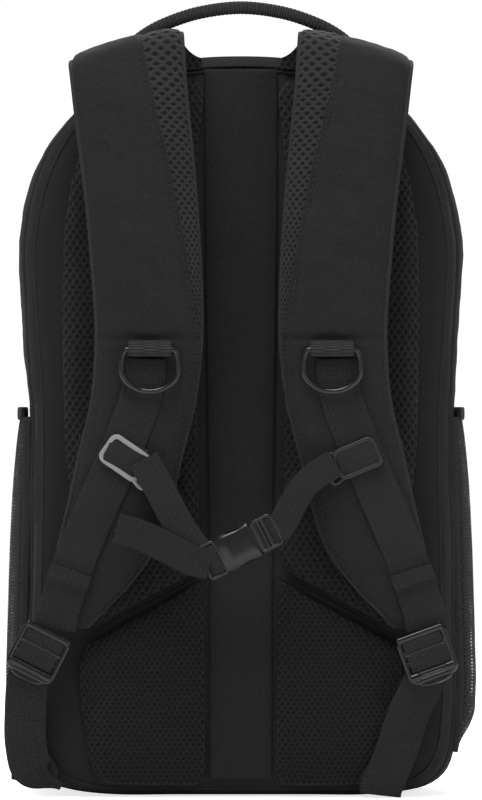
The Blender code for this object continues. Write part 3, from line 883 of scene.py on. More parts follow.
@dataclass
class Shape:
    """The body's outline and depth, which every shell piece is cut from."""

    height: float = 445
    half_width: float = 134
    arch_rise: float = 133
    arch_centre: float = 312
    arch_power: float = 2.4
    taper: float = 0.2
    back: float = -58
    front: float = 82
    base_points: tuple = ((0, 0), (40, 0), (75, 0), (100, 2.5), (116, 8), (126, 20), (130, 40), (131, 70))
    side_points: tuple = ((129.5, 120), (128.5, 165), (128, 205), (128.5, 240), (131, 275))
    rows: tuple = ((-58, 11, 4, 6), (-50, 4, 1, 1.5), (-38, 0, 0, 0), (-10, 0, 2, 0), (22, 1, 6, 0),
                   (52, 3, 14, 0.5), (70, 10, 26, 4), (82, 24, 44, 12))
    split_index: int = 10

    def depth(self, y: Array, z: Array) -> Array:
        """Depth after the body's taper: the run from the back shrinks evenly with height."""
        return self.back + (y - self.back) * (1 - self.taper * z / self.height)

    def half_table(self) -> Array:
        """Right half of the outline: the base and side points, then a superellipse arch.

        Returns:
            Points (x, z), from the base's middle to the top.
        """
        angle = np.radians(np.linspace(3, 90, 12))
        x = self.half_width * np.maximum(np.cos(angle), 0) ** (2 / self.arch_power)
        z = self.arch_centre + self.arch_rise * np.sin(angle) ** (2 / self.arch_power)
        return np.vstack([self.base_points, self.side_points, np.stack([x, z], axis=1)])

    def outline(self, first: float, last: float, count: int) -> Array:
        """Right half of the outline between two places along its table.

        Args:
            first: where it starts.
            last: where it ends.
            count: how many points to give.

        Returns:
            Points (x, z).
        """
        fine = spline(self.half_table(), np.linspace(first, last, 900))
        run = np.concatenate([[0], np.cumsum(np.linalg.norm(np.diff(fine, axis=0), axis=1))])
        want = np.linspace(0, run[-1], count)
        return np.stack([np.interp(want, run, fine[:, k]) for k in (0, 1)], axis=1)

    def whole(self, count: int = 150) -> Array:
        """The whole outline as a loop, clockwise from the base's middle when seen from the back.

        Args:
            count: how many points to give.

        Returns:
            Points (x, z), once round.
        """
        half = self.outline(0, len(self.half_table()) - 1, count)
        other = half[1:-1][::-1] * [-1, 1]
        return np.vstack([half, other])[::-1]

    def upper(self, count: int = 120) -> Array:
        """The outline over the flap's lower edge, from left to right."""
        half = self.outline(self.split_index, len(self.half_table()) - 1, count)
        return np.vstack([half * [-1, 1], half[:-1][::-1]])

    def lower(self, count: int = 90) -> Array:
        """The outline under the flap's lower edge, from right to left."""
        half = self.outline(0, self.split_index, count)
        return np.vstack([half[::-1], half[1:] * [-1, 1]])

    def shell(self, outline: Array, places: Array, inset: float = 0.0) -> Array:
        """Rows of the outline at places along the depth table, drawn in as that table says.

        Args:
            outline: points (x, z).
            places: places along the depth table.
            inset: how far to draw it in.

        Returns:
            A row of points for each place.
        """
        table = spline(np.array(self.rows, float), places)
        y, side, top, base = (table[:, k][:, None] for k in range(4))
        side, top, base = side + inset, top + inset, base + inset
        z = base + outline[None, :, 1] * (self.height - top - base) / self.height
        x = outline[None, :, 0] * (1 - side / self.half_width)
        return np.stack(np.broadcast_arrays(x, self.depth(y, z), z), axis=2)

    def face(self, edge: Array, shares: Array, swell: float) -> Array:
        """Rows across the front from its edge to a pole between the edge's ends, swelling gently out.

        Args:
            edge: the row that it starts from.
            shares: how far each row lies from the pole; 1 is the edge.
            swell: how far its middle stands out.

        Returns:
            A row of points for each share.
        """
        pole = edge[0, 2]
        share = shares[:, None]
        x = edge[None, :, 0] * share
        z = pole + (edge[None, :, 2] - pole) * share
        y = self.depth(np.array(self.front), z) + swell * (1 - share**2) * smoothstep(0, 30, np.abs(z - pole))
        return np.stack(np.broadcast_arrays(x, y, z), axis=2)

    def side_at(self, z: Array) -> Array:
        """Half width of the body at a height.

        Args:
            z: the height.

        Returns:
            The half width.
        """
        table = self.half_table()
        table = table[(table[:, 0] > 100) & (table[:, 1] < 330)]
        return np.interp(z, table[:, 1], table[:, 0])


SHAPE = Shape()


def crumple(grid: Array, size: float, wave: float, seed: int, mask: Array | float = 1.0) -> Array:
    """Moves a grid along its normals by soft noise, in the grid's own units."""
    return grid + grid_normals(grid) * (ripple(grid, wave, seed) * size * mask)[..., None]


@dataclass
class Shell:
    """The sewn body: gusset, back cloth, lower front, flap, piping and zips."""

    wall: float = 1.4 * MM
    piping: float = 1.1
    seam_groove: float = 1.4

    def seamed(self, grid: Array, runs: Array, at: float, wide: float = 3.0) -> Array:
        """Sinks a grid along a seam line: a bell-shaped groove centred on one run value."""
        sink = self.seam_groove * np.exp(-(((runs - at) / wide) ** 2))
        return grid - grid_normals(grid) * sink[..., None]

    def piped(self, place: float, outline: Array, closed: bool, inset: float = -0.6) -> Sheet:
        """A round cord along the outline at one place in the depth table.

        Args:
            place: the place along the depth table.
            outline: points (x, z).
            closed: whether its ends meet.
            inset: how far to draw it in.

        Returns:
            The cord.
        """
        line = at_mm(SHAPE.shell(outline, np.array([place]), inset)[0])
        return carried(line, (0, -1, 0), loop_profile(self.piping * MM, self.piping * MM, 2, 8),
                       closed=closed)

    def rear(self) -> None:
        """Gusset from the back's edge to the zip, with a panel seam and soft folds low down."""
        places = np.concatenate([np.linspace(0, 1.9, 20), np.linspace(2.0, 3.78, 22)])
        grid = SHAPE.shell(SHAPE.whole(), places)
        low = 1 - 0.6 * smoothstep(120, 330, grid[..., 2])
        edge = smoothstep(0, 0.5, places)[:, None] * smoothstep(3.78, 3.4, places)[:, None]
        ground = smoothstep(1, 14, grid[..., 2])
        grid = crumple(grid, 1.3, 95, 4, low * edge * ground)
        grid = crumple(grid, 0.5, 34, 5, edge * ground)
        grid = self.seamed(grid, np.broadcast_to(places[:, None], grid.shape[:2]), 1.15, 0.07)
        thing = build("gusset_cloth", Sheet(at_mm(grid), wrap_columns=True))
        settle(dress(solidify(thing, self.wall), Palette.GUSSET), "pack", "body_fabric",
               "rear_gusset", "base_gusset")
        cord = build("back_piping", self.piped(0.05, SHAPE.whole(), True))
        settle(dress(outward(cord), Palette.GUSSET), "pack", "body_fabric")

    def back(self) -> None:
        """Back cloth round the pads, and the smooth panel down the middle."""
        outline = SHAPE.whole()
        edge = SHAPE.shell(outline, np.array([0.0]), 1.0)[0]
        shares = np.linspace(1, 0.002, 26)[:, None, None]
        middle = np.array([0, edge[:, 1].mean(), 225])
        grid = middle + (edge[None] - middle) * shares
        grid[..., 1] = SHAPE.back + 0.8 * (1 - shares[..., 0])
        lip = SHAPE.shell(outline, np.array([1.1, 0.75, 0.4]), 2.0)
        thing = build("back_cloth", Sheet(at_mm(np.vstack([lip, grid])), wrap_columns=True))
        settle(dress(solidify(thing, self.wall), Palette.GUSSET), "pack", "body_fabric", "back_panel")

        up, across = np.linspace(10, 437, 180), np.linspace(-1, 1, 30)
        half = 18.6 + 3.3 * smoothstep(90, 400, up)
        x = across[None] * half[:, None]
        out = 5.2 - 2.4 * np.abs(across) ** 3 + 0 * x
        y = SHAPE.back - out + 0.35 * ripple(np.stack([x, x * 0, up[:, None] + 0 * x], 2), 60, 9)
        grid = np.stack([x, y, up[:, None] + 0 * x], axis=2)
        thing = build("spine_cloth", Sheet(at_mm(grid)))
        settle(dress(solidify(thing, 2 * MM), Palette.SPINE), "pack", "body_fabric", "spine_panel")

    def yoke(self) -> None:
        """Folded band along the top seam between the straps, with its stitched edge."""
        x = np.linspace(-64, 64, 70)
        arch = (1 - np.abs(x / SHAPE.half_width) ** 2.4) ** (1 / 2.4)
        top = SHAPE.arch_centre + SHAPE.arch_rise * arch - 2.4
        line = np.stack([x, np.full_like(x, SHAPE.back - 2.0), top - 1.2], axis=1)
        band = carried(at_mm(line), (0, -1, 0.2), loop_profile(3.4 * MM, 1.2 * MM, 3, 14))
        under = np.stack([x, np.full_like(x, SHAPE.back - 1.6), top - 6.2], axis=1)
        cord = carried(at_mm(under), (0, -1, 0), loop_profile(1.0 * MM, 0.9 * MM, 2, 8))
        thing = outward(build("yoke_band", band, cord))
        settle(dress(thing, Palette.BINDING), "pack", "webbing", "top_yoke")

    def lower_front(self) -> None:
        """Lower front and the front of the base, up to the flap's lower edge."""
        grid = self.front_grid(SHAPE.lower(), np.linspace(3.79, 7, 34))
        thing = build("lower_front_cloth", Sheet(at_mm(grid)))
        settle(dress(solidify(thing, self.wall), Palette.GUSSET), "pack", "body_fabric", "front_lower")

    def front_grid(self, outline: Array, places: Array) -> Array:
        """Shell rows, then the front face's rows to its pole, crumpled away from the edges and the floor.

        Args:
            outline: points (x, z).
            places: places along the depth table.

        Returns:
            Rows of points.
        """
        walls = SHAPE.shell(outline, places)
        face = SHAPE.face(walls[-1], np.linspace(0.965, 0.004, 26), 2.0)
        grid = np.vstack([walls, face])
        edge = smoothstep(0, 5, np.arange(len(grid)))[:, None]
        ends = smoothstep(0, 5, np.minimum(np.arange(len(outline)), np.arange(len(outline))[::-1]))[None]
        middle = smoothstep(len(grid) - 1, len(grid) - 8, np.arange(len(grid)))[:, None]
        ground = smoothstep(1, 14, grid[..., 2])
        grid = crumple(grid, 1.6, 120, 12, edge * ends * middle * ground)
        return crumple(grid, 0.6, 42, 13, edge * ends * middle * ground)

    def hinge(self) -> Array:
        """Where the flap turns."""
        return np.array(frame["record"]["behaviour"]["joints"][0]["pos_m"])

    def flap(self) -> None:
        """Front flap: it starts from the lower front just over its fold."""
        grid = self.front_grid(SHAPE.upper(), np.linspace(4.24, 7, 30))
        grid[..., 2] += 0.6
        thing = build("flap_cloth", Sheet(at_mm(grid)))
        solidify(thing, self.wall)
        dress(thing, Palette.GUSSET)
        fold = self.hinge()
        span(thing, ("pack", "flap"), fold, fold + [0, 0, 0.05], "body_fabric", "front_flap")

    def zips(self) -> None:
        """Both tapes of the main zip, each with its half of the coil."""
        fold = self.hinge()
        for label, first, last, node, body in (("rear", 3.8, 3.99, "zip_tape_rear", "pack"),
                                               ("front", 4.01, 4.22, "zip_tape_front", "flap")):
            places = np.linspace(first - 0.09 * (label == "rear"), last + 0.09 * (label == "front"), 9)
            under = 0.9 + 1.1 * (places < 3.81) + 1.1 * (places > 4.215)
            tape = SHAPE.shell(SHAPE.upper(), places, under[:, None])
            edge = SHAPE.shell(SHAPE.upper(400), np.array([last if label == "rear" else first]), 0.1)[0]
            run = np.concatenate([[0], np.cumsum(np.linalg.norm(np.diff(edge, axis=0), axis=1))])
            beads = 1 + 0.28 * np.sin(run * 2 * math.pi / 3.2)
            coil = carried(at_mm(edge), (0, 1, 0), loop_profile(1.0 * MM, 0.9 * MM, 2, 7), scale=beads)
            for grid, name, finish in ((Sheet(at_mm(tape)), f"zip_tape_{label}_cloth", Palette.TAPE),
                                       (coil, f"zip_coil_{label}", Palette.THREAD)):
                thing = build(name, grid)
                if grid is coil:
                    outward(thing)
                else:
                    solidify(thing, 0.8 * MM)
                dress(thing, finish)
                nodes = () if grid is coil else (node,)
                if body == "flap":
                    span(thing, ("pack", "flap"), fold, fold + [0, 0, 0.05], "zip_tape", *nodes)
                else:
                    settle(thing, "pack", "zip_tape", *nodes)

    def seam_backing(self) -> None:
        """Inner tape behind the seam of the lower front, and behind the fold that the flap turns on."""
        strip = SHAPE.shell(SHAPE.lower(), np.linspace(3.66, 3.92, 8), 1.7)
        grid = self.front_grid(SHAPE.lower(), np.linspace(3.79, 7, 34))
        line = np.vstack([grid[:, 0], grid[::-1, -1]])
        line = even(line, 160)
        along = unit(np.gradient(line, axis=0) * [1, 1, 0])
        inward = np.stack([-along[:, 1], along[:, 0], 0 * along[:, 0]], axis=1)
        inward = inward * np.sign((inward * (np.array([0, 10, 205]) - line)).sum(axis=1, keepdims=True))
        rise = np.linspace(-7, 6, 6)[:, None, None] * np.array([0, 0, 1.0])
        fold = line[None] + inward[None] * 2.2 + rise
        thing = solidify(build("seam_backing", Sheet(at_mm(strip)), Sheet(at_mm(fold))), 0.6 * MM)
        settle(dress(thing, Palette.TAPE), "pack", "zip_tape")

    def make(self) -> None:
        """Every piece of the shell."""
        self.seam_backing()
        self.rear()
        self.back()
        self.yoke()
        self.lower_front()
        self.flap()
        self.zips()


def inflate(thing: bpy.types.Object, voxel: float, cap: float, pressure: float = 4.0) -> bpy.types.Object:
    """Swells a closed pad as cloth under inner pressure, caps how far its points move, and smooths it once.

    Args:
        thing: the closed pad.
        voxel: size of the even mesh that it is rebuilt with.
        cap: the furthest that a point may move.
        pressure: pressure inside the cloth.

    Returns:
        The same object with its final mesh.
    """
    remesh = thing.modifiers.new("even", "REMESH")
    remesh.mode, remesh.voxel_size = "VOXEL", voxel
    bake(thing)
    start = read_points(thing)
    cloth = thing.modifiers.new("swell", "CLOTH")
    cloth.settings.use_pressure = True
    cloth.settings.uniform_pressure_force = pressure
    cloth.settings.effector_weights.gravity = 0
    cloth.settings.quality = 4
    cloth.collision_settings.use_collision = False
    for step in range(1, 21):
        bpy.context.scene.frame_set(step)
    bake(thing)
    bpy.context.scene.frame_set(1)
    moved = read_points(thing) - start
    far = np.linalg.norm(moved, axis=1, keepdims=True)
    write_points(thing, start + moved * np.minimum(1, cap / np.maximum(far, 1e-9)))
    smooth = thing.modifiers.new("fine", "SUBSURF")
    smooth.levels = smooth.render_levels = 1
    bake(thing)
    thing.data.shade_smooth()
    return thing


def bake(thing: bpy.types.Object) -> None:
    """Puts what an object's modifiers give into its mesh, and takes the modifiers off.

    Args:
        thing: the piece.
    """
    seen = thing.evaluated_get(bpy.context.evaluated_depsgraph_get())
    mesh = bpy.data.meshes.new_from_object(seen)
    thing.modifiers.clear()
    old, thing.data = thing.data, mesh
    bpy.data.meshes.remove(old)
    mesh.name = thing.name


def read_points(thing: bpy.types.Object) -> Array:
    """A mesh's points as rows.

    Args:
        thing: the piece.

    Returns:
        The points.
    """
    flat = np.empty(3 * len(thing.data.vertices), np.float32)
    thing.data.vertices.foreach_get("co", flat)
    return flat.reshape(-1, 3).astype(float)


def write_points(thing: bpy.types.Object, points: Array) -> None:
    """Puts rows back as a mesh's points."""
    thing.data.vertices.foreach_set("co", points.astype(np.float32).ravel())
    thing.data.update()


@dataclass
class BackPads:
    """Foam panels under spacer mesh, an upper and a lower one on each side, and the crease between."""

    height: float = 10.5
    voxel: float = 4.0 * MM
    upper: tuple = ((21.5, 134.0), (22.5, 280), (22.5, 433), (36, 435), (60, 429), (84, 413), (99, 392),
                    (107, 367),
                    (111, 330), (112, 290), (111, 245), (109, 200), (104, 150), (95, 95.5))
    lower: tuple = ((19.5, 9), (19.5, 70), (20.5, 133), (93, 94), (99, 78), (97, 45), (91, 16), (84, 7),
                    (28, 5))

    def pad(self, name: str, outline: tuple, side: int, fill: float, node: str) -> None:
        """One pad: rings of its outline that close in over a full edge, then swollen as cloth.

        Args:
            name: name of the piece.
            outline: its outline (x, z) on the right.
            side: -1 for the left, 1 for the right.
            fill: not used.
            node: the node that it stands for.
        """
        loop = even_loop(np.array(outline, float) * [side, 1], 150)
        for _ in range(3):
            loop = (np.roll(loop, 1, 0) + loop * 2 + np.roll(loop, -1, 0)) / 4
        middle = (loop.min(0) + loop.max(0)) / 2
        size = (loop.max(0) - loop.min(0)) / 2
        insets = np.array([3.2, 1.0, 0.4, 1.0, 3.6, 9.0, 18.0])
        rises = np.array([0.0, 0.1, 0.35, 0.62, 0.82, 0.92, 0.95]) * self.height
        inner = 1 - insets[:, None] / size[None]
        flat = middle + (loop[None] - middle) * inner[:, None, :]
        y = SHAPE.back - 0.6 - rises[:, None] + 0 * flat[..., 0]
        grid = np.stack([flat[..., 0], y, flat[..., 1]], axis=2)
        thing = build(name, Sheet(at_mm(grid), wrap_columns=True, caps=True))
        outward(thing)
        inflate(thing, self.voxel, 3.0 * MM)
        self.crown(thing)
        # The lower pads take the darker copy of the pad mesh as painted shade.
        finish = Palette.SHADED_LOW_MESH if "lower" in node else Palette.PAD_MESH
        settle(dress(thing, finish), "pack", "air_mesh", node)

    def crown(self, thing: bpy.types.Object) -> None:
        """Slow unevenness over the foam, only on the face.

        Args:
            thing: the pad.
        """
        points = read_points(thing)
        face = smoothstep((SHAPE.back - 5 + CENTRE) * MM, (SHAPE.back - 9 + CENTRE) * MM, points[:, 1])
        points[:, 1] -= face * ripple(points, 0.07, 21) * 0.7 * MM
        write_points(thing, points)

    def creases(self) -> None:
        """Bound edge between the upper and lower pads, sloping down and out on each side. Its dark tape
        stands partly for the seam there and partly for painted shade in the crease.
        """
        for side, label in SIDES.items():
            line = even(np.array([(21, -58.9, 133.5), (50, -59.4, 118), (80, -59.2, 102), (97, -58.8, 93.5)]),
                        50)
            band = carried(at_mm(line * [side, 1, 1]), (0, -1, 0), loop_profile(1.5 * MM, 0.7 * MM, 2.4, 12))
            thing = outward(build(f"pad_crease_{label}", band))
            settle(dress(thing, Palette.TAPE), "pack", "air_mesh")

    def make(self) -> None:
        """All four pads and their creases."""
        for side, label in SIDES.items():
            self.pad(f"upper_pad_{label}", self.upper, side, 0.75, f"back_pad_upper_{label}")
            self.pad(f"lower_pad_{label}", self.lower, side, 0.75, f"back_pad_lower_{label}")
        self.creases()


@dataclass
class Pockets:
    """The puffy front pocket with its zip, and the two stretch side pockets with their bound mouths."""

    half: float = 98
    low: float = 28
    high: float = 178
    out: float = 27
    zip_height: float = 146
    side_low: float = 26
    side_high: float = 226.5
    side_near: float = -44
    side_far: float = 40

    def swell(self, across: Array, up: Array) -> Array:
        """Fullness of the front pocket: (1 - a^6)^0.6 (1 - b^6)^0.6, a and b running from -1 to 1."""
        a, b = np.clip(np.abs(across), 0, 1), np.clip(np.abs(up), 0, 1)
        return (1 - a**6) ** 0.6 * (1 - b**6) ** 0.6

    def front(self) -> None:
        """Front pocket: a crowned panel, crumpled, with a cord round its edge."""
        u, v = np.meshgrid(np.sin(np.linspace(-math.pi / 2, math.pi / 2, 90)),
                           np.sin(np.linspace(-math.pi / 2, math.pi / 2, 70)))
        z = (self.low + self.high) / 2 + v * (self.high - self.low) / 2
        y = SHAPE.depth(np.array(SHAPE.front), z) + 2.7 + self.out * self.swell(u, v)
        grid = np.stack([u * self.half, y, z], axis=2)[:, ::-1]
        inner = self.swell(u * 1.02, v * 1.02)[:, ::-1]
        grid = crumple(grid, 1.5, 75, 31, inner)
        grid = crumple(grid, 0.45, 26, 32, inner)
        line = np.exp(-(((grid[..., 2] - self.zip_height) / 6.5) ** 2)) * (np.abs(grid[..., 0]) < 88)
        grid[..., 1] -= 1.0 * line
        thing = build("front_pocket_cloth", Sheet(at_mm(grid)))
        settle(dress(solidify(thing, 1.3 * MM), Palette.GUSSET), "pack", "body_fabric", "front_pocket")
        corner = rounded_loop(self.half, (self.high - self.low) / 2, 10, 160)
        z = (self.low + self.high) / 2 + corner[:, 1]
        y = SHAPE.depth(np.array(SHAPE.front), z) + 2.6
        cord = carried(at_mm(np.stack([corner[:, 0] * 0.995, y, z], axis=1)), (0, 1, 0),
                       loop_profile(1.7 * MM, 1.7 * MM, 2, 8), closed=True)
        settle(dress(outward(build("front_pocket_piping", cord)), Palette.GUSSET), "pack", "body_fabric")

    def pocket_zip(self) -> None:
        """Tape and coil of the front pocket's zip, following the pocket's crown."""
        x = np.linspace(-83, 83, 110)
        rows = np.array([-6.8, -3.4, 0, 3.4, 6.8])
        z = self.zip_height + rows[:, None] + 0 * x[None]
        middle, half = (self.low + self.high) / 2, (self.high - self.low) / 2
        y = SHAPE.depth(np.array(SHAPE.front), z) + 2.7 + self.out * self.swell(x[None] / self.half,
                                                                                (z - middle) / half)
        grid = np.stack([x[None] + 0 * z, y + 0.7, z], axis=2)[:, ::-1]
        tape = build("pocket_zip_cloth", Sheet(at_mm(grid)))
        settle(dress(solidify(tape, 0.9 * MM), Palette.TAPE), "pack", "zip_tape", "pocket_zip_tape")
        line = at_mm(even(grid[2] + [0, 0.7, 0], 420))
        beads = 1 + 0.25 * np.sin(np.linspace(0, 110 * math.pi, 420))
        coil = carried(line, (0, 1, 0), loop_profile(1.6 * MM, 0.8 * MM, 2, 8), scale=beads)
        settle(dress(outward(build("pocket_coil", coil)), Palette.THREAD), "pack", "zip_tape")

    def bulge(self, share: Array, z: Array) -> Array:
        """How far a side pocket stands from the body: full at mid depth, sinking to its ends and its foot.

        Args:
            share: share of the pocket's depth, from 0 to 1.
            z: the height.

        Returns:
            The distance from the body.
        """
        rise = (z - self.side_low) / (self.side_high - self.side_low)
        full = (9.3 - 6.6 * np.clip(rise, 0, 1) ** 6) * smoothstep(-0.02, 0.13, rise)
        return full * np.sin(math.pi * np.clip(share, 0, 1)) ** 0.55

    def side_grid(self, side: int, shares: Array, z: Array, proud: float) -> Array:
        """A side pocket's face at shares of its depth and at heights.

        Args:
            side: -1 for the left, 1 for the right.
            shares: shares of its depth.
            z: heights.
            proud: how far it stands out besides its bulge.

        Returns:
            Rows of points.
        """
        share, up = np.meshgrid(shares, z)
        y = SHAPE.depth(self.side_near + (self.side_far - self.side_near) * share, up)
        x = SHAPE.side_at(up) + 3.0 + proud + self.bulge(share, up)
        grid = np.stack([x * side, y, up], axis=2)
        return grid[:, ::-1] if side < 0 else grid

    def sides(self) -> None:
        """Stretch mesh of each side pocket, slightly gathered, and the bound mouth over it."""
        shares = 0.5 - 0.5 * np.cos(np.linspace(0, math.pi, 44))
        for side, label in SIDES.items():
            grid = self.side_grid(side, shares, np.linspace(self.side_low, self.side_high, 80), 0.0)
            pucker = smoothstep(self.side_high - 55, self.side_high, grid[..., 2])
            pucker = pucker * np.sin(np.pi * np.clip((grid[..., 1] + 48) / 84, 0, 1))
            wave = np.sin(grid[..., 1] * 0.62 + 0.6 * np.sin(grid[..., 2] * 0.05))
            grid[..., 0] += side * 0.7 * (wave - 0.4) * pucker
            mesh = build(f"side_mesh_{label}", Sheet(at_mm(grid)))
            settle(dress(solidify(mesh, 0.5 * MM), Palette.POCKET_MESH), "pack", "pocket_mesh",
                   f"side_pocket_{label}")
            mouth = self.side_grid(side, shares, np.array([230.0]), 0.3)[0]
            mouth[:, 0] += side * 0.35 * np.sin(mouth[:, 1] * 0.62)
            band = carried(at_mm(mouth), (side, 0, 0), loop_profile(4.0 * MM, 1.25 * MM, 3.2, 16))
            stitch = self.side_grid(side, shares, np.array([227.4]), 1.2)[0]
            thread = carried(at_mm(stitch), (side, 0, 0), loop_profile(0.5 * MM, 0.5 * MM, 2, 6))
            settle(dress(outward(build(f"pocket_mouth_{label}", band, thread)), Palette.BINDING), "pack",
                   "webbing",
                   f"pocket_binding_{label}")
            for end, place in ((0.0, "near"), (1.0, "far")):
                edge = self.side_grid(side, np.array([end]), np.linspace(self.side_low, 228, 60), -2.0)[:, 0]
                seam = carried(at_mm(edge), (side, 0, 0), loop_profile(1.3 * MM, 2.6 * MM, 2.6, 12))
                settle(dress(outward(build(f"pocket_seam_{place}_{label}", seam)), Palette.BINDING), "pack",
                       "webbing")

    def sleeve(self) -> None:
        """Padded laptop sleeve inside, behind the back panel."""
        u, v = np.meshgrid(np.linspace(-1, 1, 50), np.linspace(-1, 1, 60))
        puff = 1.6 * np.clip((1 - u**4) * (1 - v**4), 0, 1) ** 0.5
        faces = []
        for way in (-1, 1):
            y = -52.5 + way * (0.8 + puff)
            faces.append(np.stack([u * 91, y, 165 + v * 119], axis=2))
        ring = np.concatenate([faces[0], faces[1][:, ::-1]], axis=1)
        thing = outward(build("sleeve_pad", Sheet(at_mm(ring), wrap_columns=True, caps=True)))
        settle(dress(thing, Palette.LINING), "pack", "lining", "laptop_sleeve")

    def make(self) -> None:
        """Every pocket."""
        self.front()
        self.pocket_zip()
        self.sides()
        self.sleeve()


# ---------------------------------------------------------------- shoulder straps


@dataclass
class Straps:
    """Curved shoulder straps: face cloth over foam, with spacer mesh rolled round the inner edge."""

    rows: tuple = ((-68, 428, 8, 100, 42), (-73, 442, 10, 103, 37), (-84, 450, 11, 104, 35),
                   (-96, 444, 12, 104, 34),
                   (-104, 425, 12, 102.5, 32.5), (-107, 395, 12, 99, 29.5), (-108, 355, 12, 94, 26),
                   (-107, 315, 12, 90.5, 23.5), (-105, 275, 12, 87.5, 23), (-101, 238, 12, 89, 27),
                   (-97, 205, 12, 96.5, 35), (-93, 175, 11, 103, 42), (-89, 150, 10, 109, 51),
                   (-85, 130, 9, 114, 65), (-82, 112, 7, 120, 82), (-80, 102, 5, 123, 92))
    webbing: tuple = ((8.49, 57), (9, 60), (10, 73), (11, 86), (12, 97), (13, 104), (14, 109.5), (15, 111))
    hinge: tuple = (0, -66, 430)

    def at(self, station: Array) -> tuple[Array, Array, Array, Array, Array]:
        """Middle line (y, z), its outward normal (y, z), thickness, outer and inner |x| at stations.

        Args:
            station: places along the strap.

        Returns:
            These five, for each station.
        """
        table = np.array(self.rows, float)
        here = spline(table, station)
        step = spline(table, np.clip(station + 0.02, 0, len(table) - 1)) - spline(table,
                                                                                  np.clip(station - 0.02, 0,
                                                                                          99))
        run = unit(step[:, :2])
        normal = np.stack([run[:, 1], -run[:, 0]], axis=1)
        outer = here[:, 3] - 2.3 * smoothstep(9.5, 7, station)
        return here[:, :2], normal, here[:, 2], outer, here[:, 4]

    def surface(self, side: int, station: Array, x: Array, lift: Array | float) -> Array:
        """Points over a strap's outer face at stations and |x| places.

        Args:
            side: -1 for the left strap, 1 for the right.
            station: places along the strap.
            x: how far out they lie.
            lift: how far they stand off it.

        Returns:
            The points.
        """
        line, normal, thick, _, _ = self.at(station)
        out = line + normal * (thick / 2 + lift)[:, None]
        return np.stack([side * x, out[:, 0], out[:, 1]], axis=1)

    def section(self, station: Array, count: int = 48) -> tuple[Array, Array, Array]:
        """A strap's section: its share across, its rise from -1 to 1, and the seam's column.

        The section is a superellipse of power 3 across the strap. Its two edges are cords, and the
        cloth's seam with the rolled mesh stays at one column, whose share slides down the strap. A
        share runs from 0 at the outer edge to 1 at the inner edge.

        Args:
            station: places along the strap.
            count: how many columns to give.

        Returns:
            The share, the rise and the column.
        """
        seam = count * 5 // 16
        face = np.linspace(0, 1, seam + 1)[:-1]
        roll = np.linspace(0, 1, count // 2 - seam + 1)[:-1]
        under = np.linspace(0, 1, count - count // 2 + 1)[:-1]
        width = self.roll_share(station)[:, None]
        share = np.concatenate([(1 - width) * face[None], 1 - width + width * roll[None],
                                np.broadcast_to(1 - under[None], (len(station), len(under)))], axis=1)
        top = np.concatenate([np.ones(len(face) + len(roll)), -np.ones(len(under))])
        full = np.maximum(1 - np.abs(2 * share - 1) ** 5, 0) ** 0.5
        return share, top[None] * full, np.array(seam)

    def roll_share(self, station: Array) -> Array:
        """Share of the strap's width that the rolled mesh takes: wide at the shoulder, gone at the ring."""
        return 0.05 + 0.31 * smoothstep(8.8, 2.6, station)

    def shoulder(self, share: Array, station: Array) -> Array:
        """Rise of the strap's top: its inner edge stands higher than its outer corner."""
        top = smoothstep(4.2, 2.4, station) * smoothstep(0.2, 1.6, station)
        return (17.5 * np.clip(share, 0, 1) ** 0.9 - 10.5) * top

    def pad(self, side: int, label: str) -> None:
        """One strap with its cloth, its rolled mesh and the cord on its seams.

        Args:
            side: -1 for the left strap, 1 for the right.
            label: the side, as it is written in names.
        """
        station = np.concatenate([np.linspace(0, 4, 70), np.linspace(4.04, 15, 230)])
        line, normal, thick, outer, inner = self.at(station)
        share, rise, seam = self.section(station)
        x = outer[:, None] + (inner - outer)[:, None] * share
        puff = thick[:, None] / 2 * rise
        y = line[:, :1] + normal[:, :1] * puff
        z = line[:, 1:] + normal[:, 1:] * puff + self.shoulder(share, station[:, None])
        grid = np.stack([side * x, y, z], axis=2)
        face = np.clip(rise, 0, 1)
        ends = (smoothstep(0, 0.8, station) * smoothstep(15, 14, station))[:, None]
        soft = ripple(grid, 38, 41 + side) * 0.75 + ripple(grid, 15, 43 + side) * 0.28
        tugs = np.sin(grid[..., 2] * 0.21 + side * grid[..., 0] * 0.17) * smoothstep(0.55, 0.95,
                                                                                     1 - share) * 0.35
        grid += np.stack([0 * x, np.broadcast_to(normal[:, :1], x.shape),
                          np.broadcast_to(normal[:, 1:], x.shape)],
                         axis=2) * ((soft + tugs) * face * ends)[..., None]
        dent = np.exp(-(((share - (1 - self.roll_share(station)[:, None])) / 0.022) ** 2)) * (rise > 0) * 1.1
        crease = np.exp(-(((station[:, None] - 8.0) / 0.045) ** 2)) * (rise > 0) * 1.5
        grid -= np.stack([0 * x, np.broadcast_to(normal[:, :1], x.shape),
                          np.broadcast_to(normal[:, 1:], x.shape)],
                         axis=2) * ((dent + crease) * ends)[..., None]
        thing = build(f"shoulder_strap_{label}", Sheet(at_mm(grid), wrap_columns=True, caps=True))
        # The rolled edge takes the lighter copy of the mesh as painted highlight.
        dress(thing, Palette.FACE, Palette.LIT_ROLL_MESH)
        columns = grid.shape[1]
        which = np.ones(len(thing.data.polygons), np.int32)
        quads = (len(station) - 1) * columns
        which[:quads] = np.arange(quads) % columns >= int(seam)
        thing.data.polygons.foreach_set("material_index", which)
        outward(thing)
        self.hang(thing, "strap_fabric", f"strap_pad_{label}")
        self.edging(side, label, station)

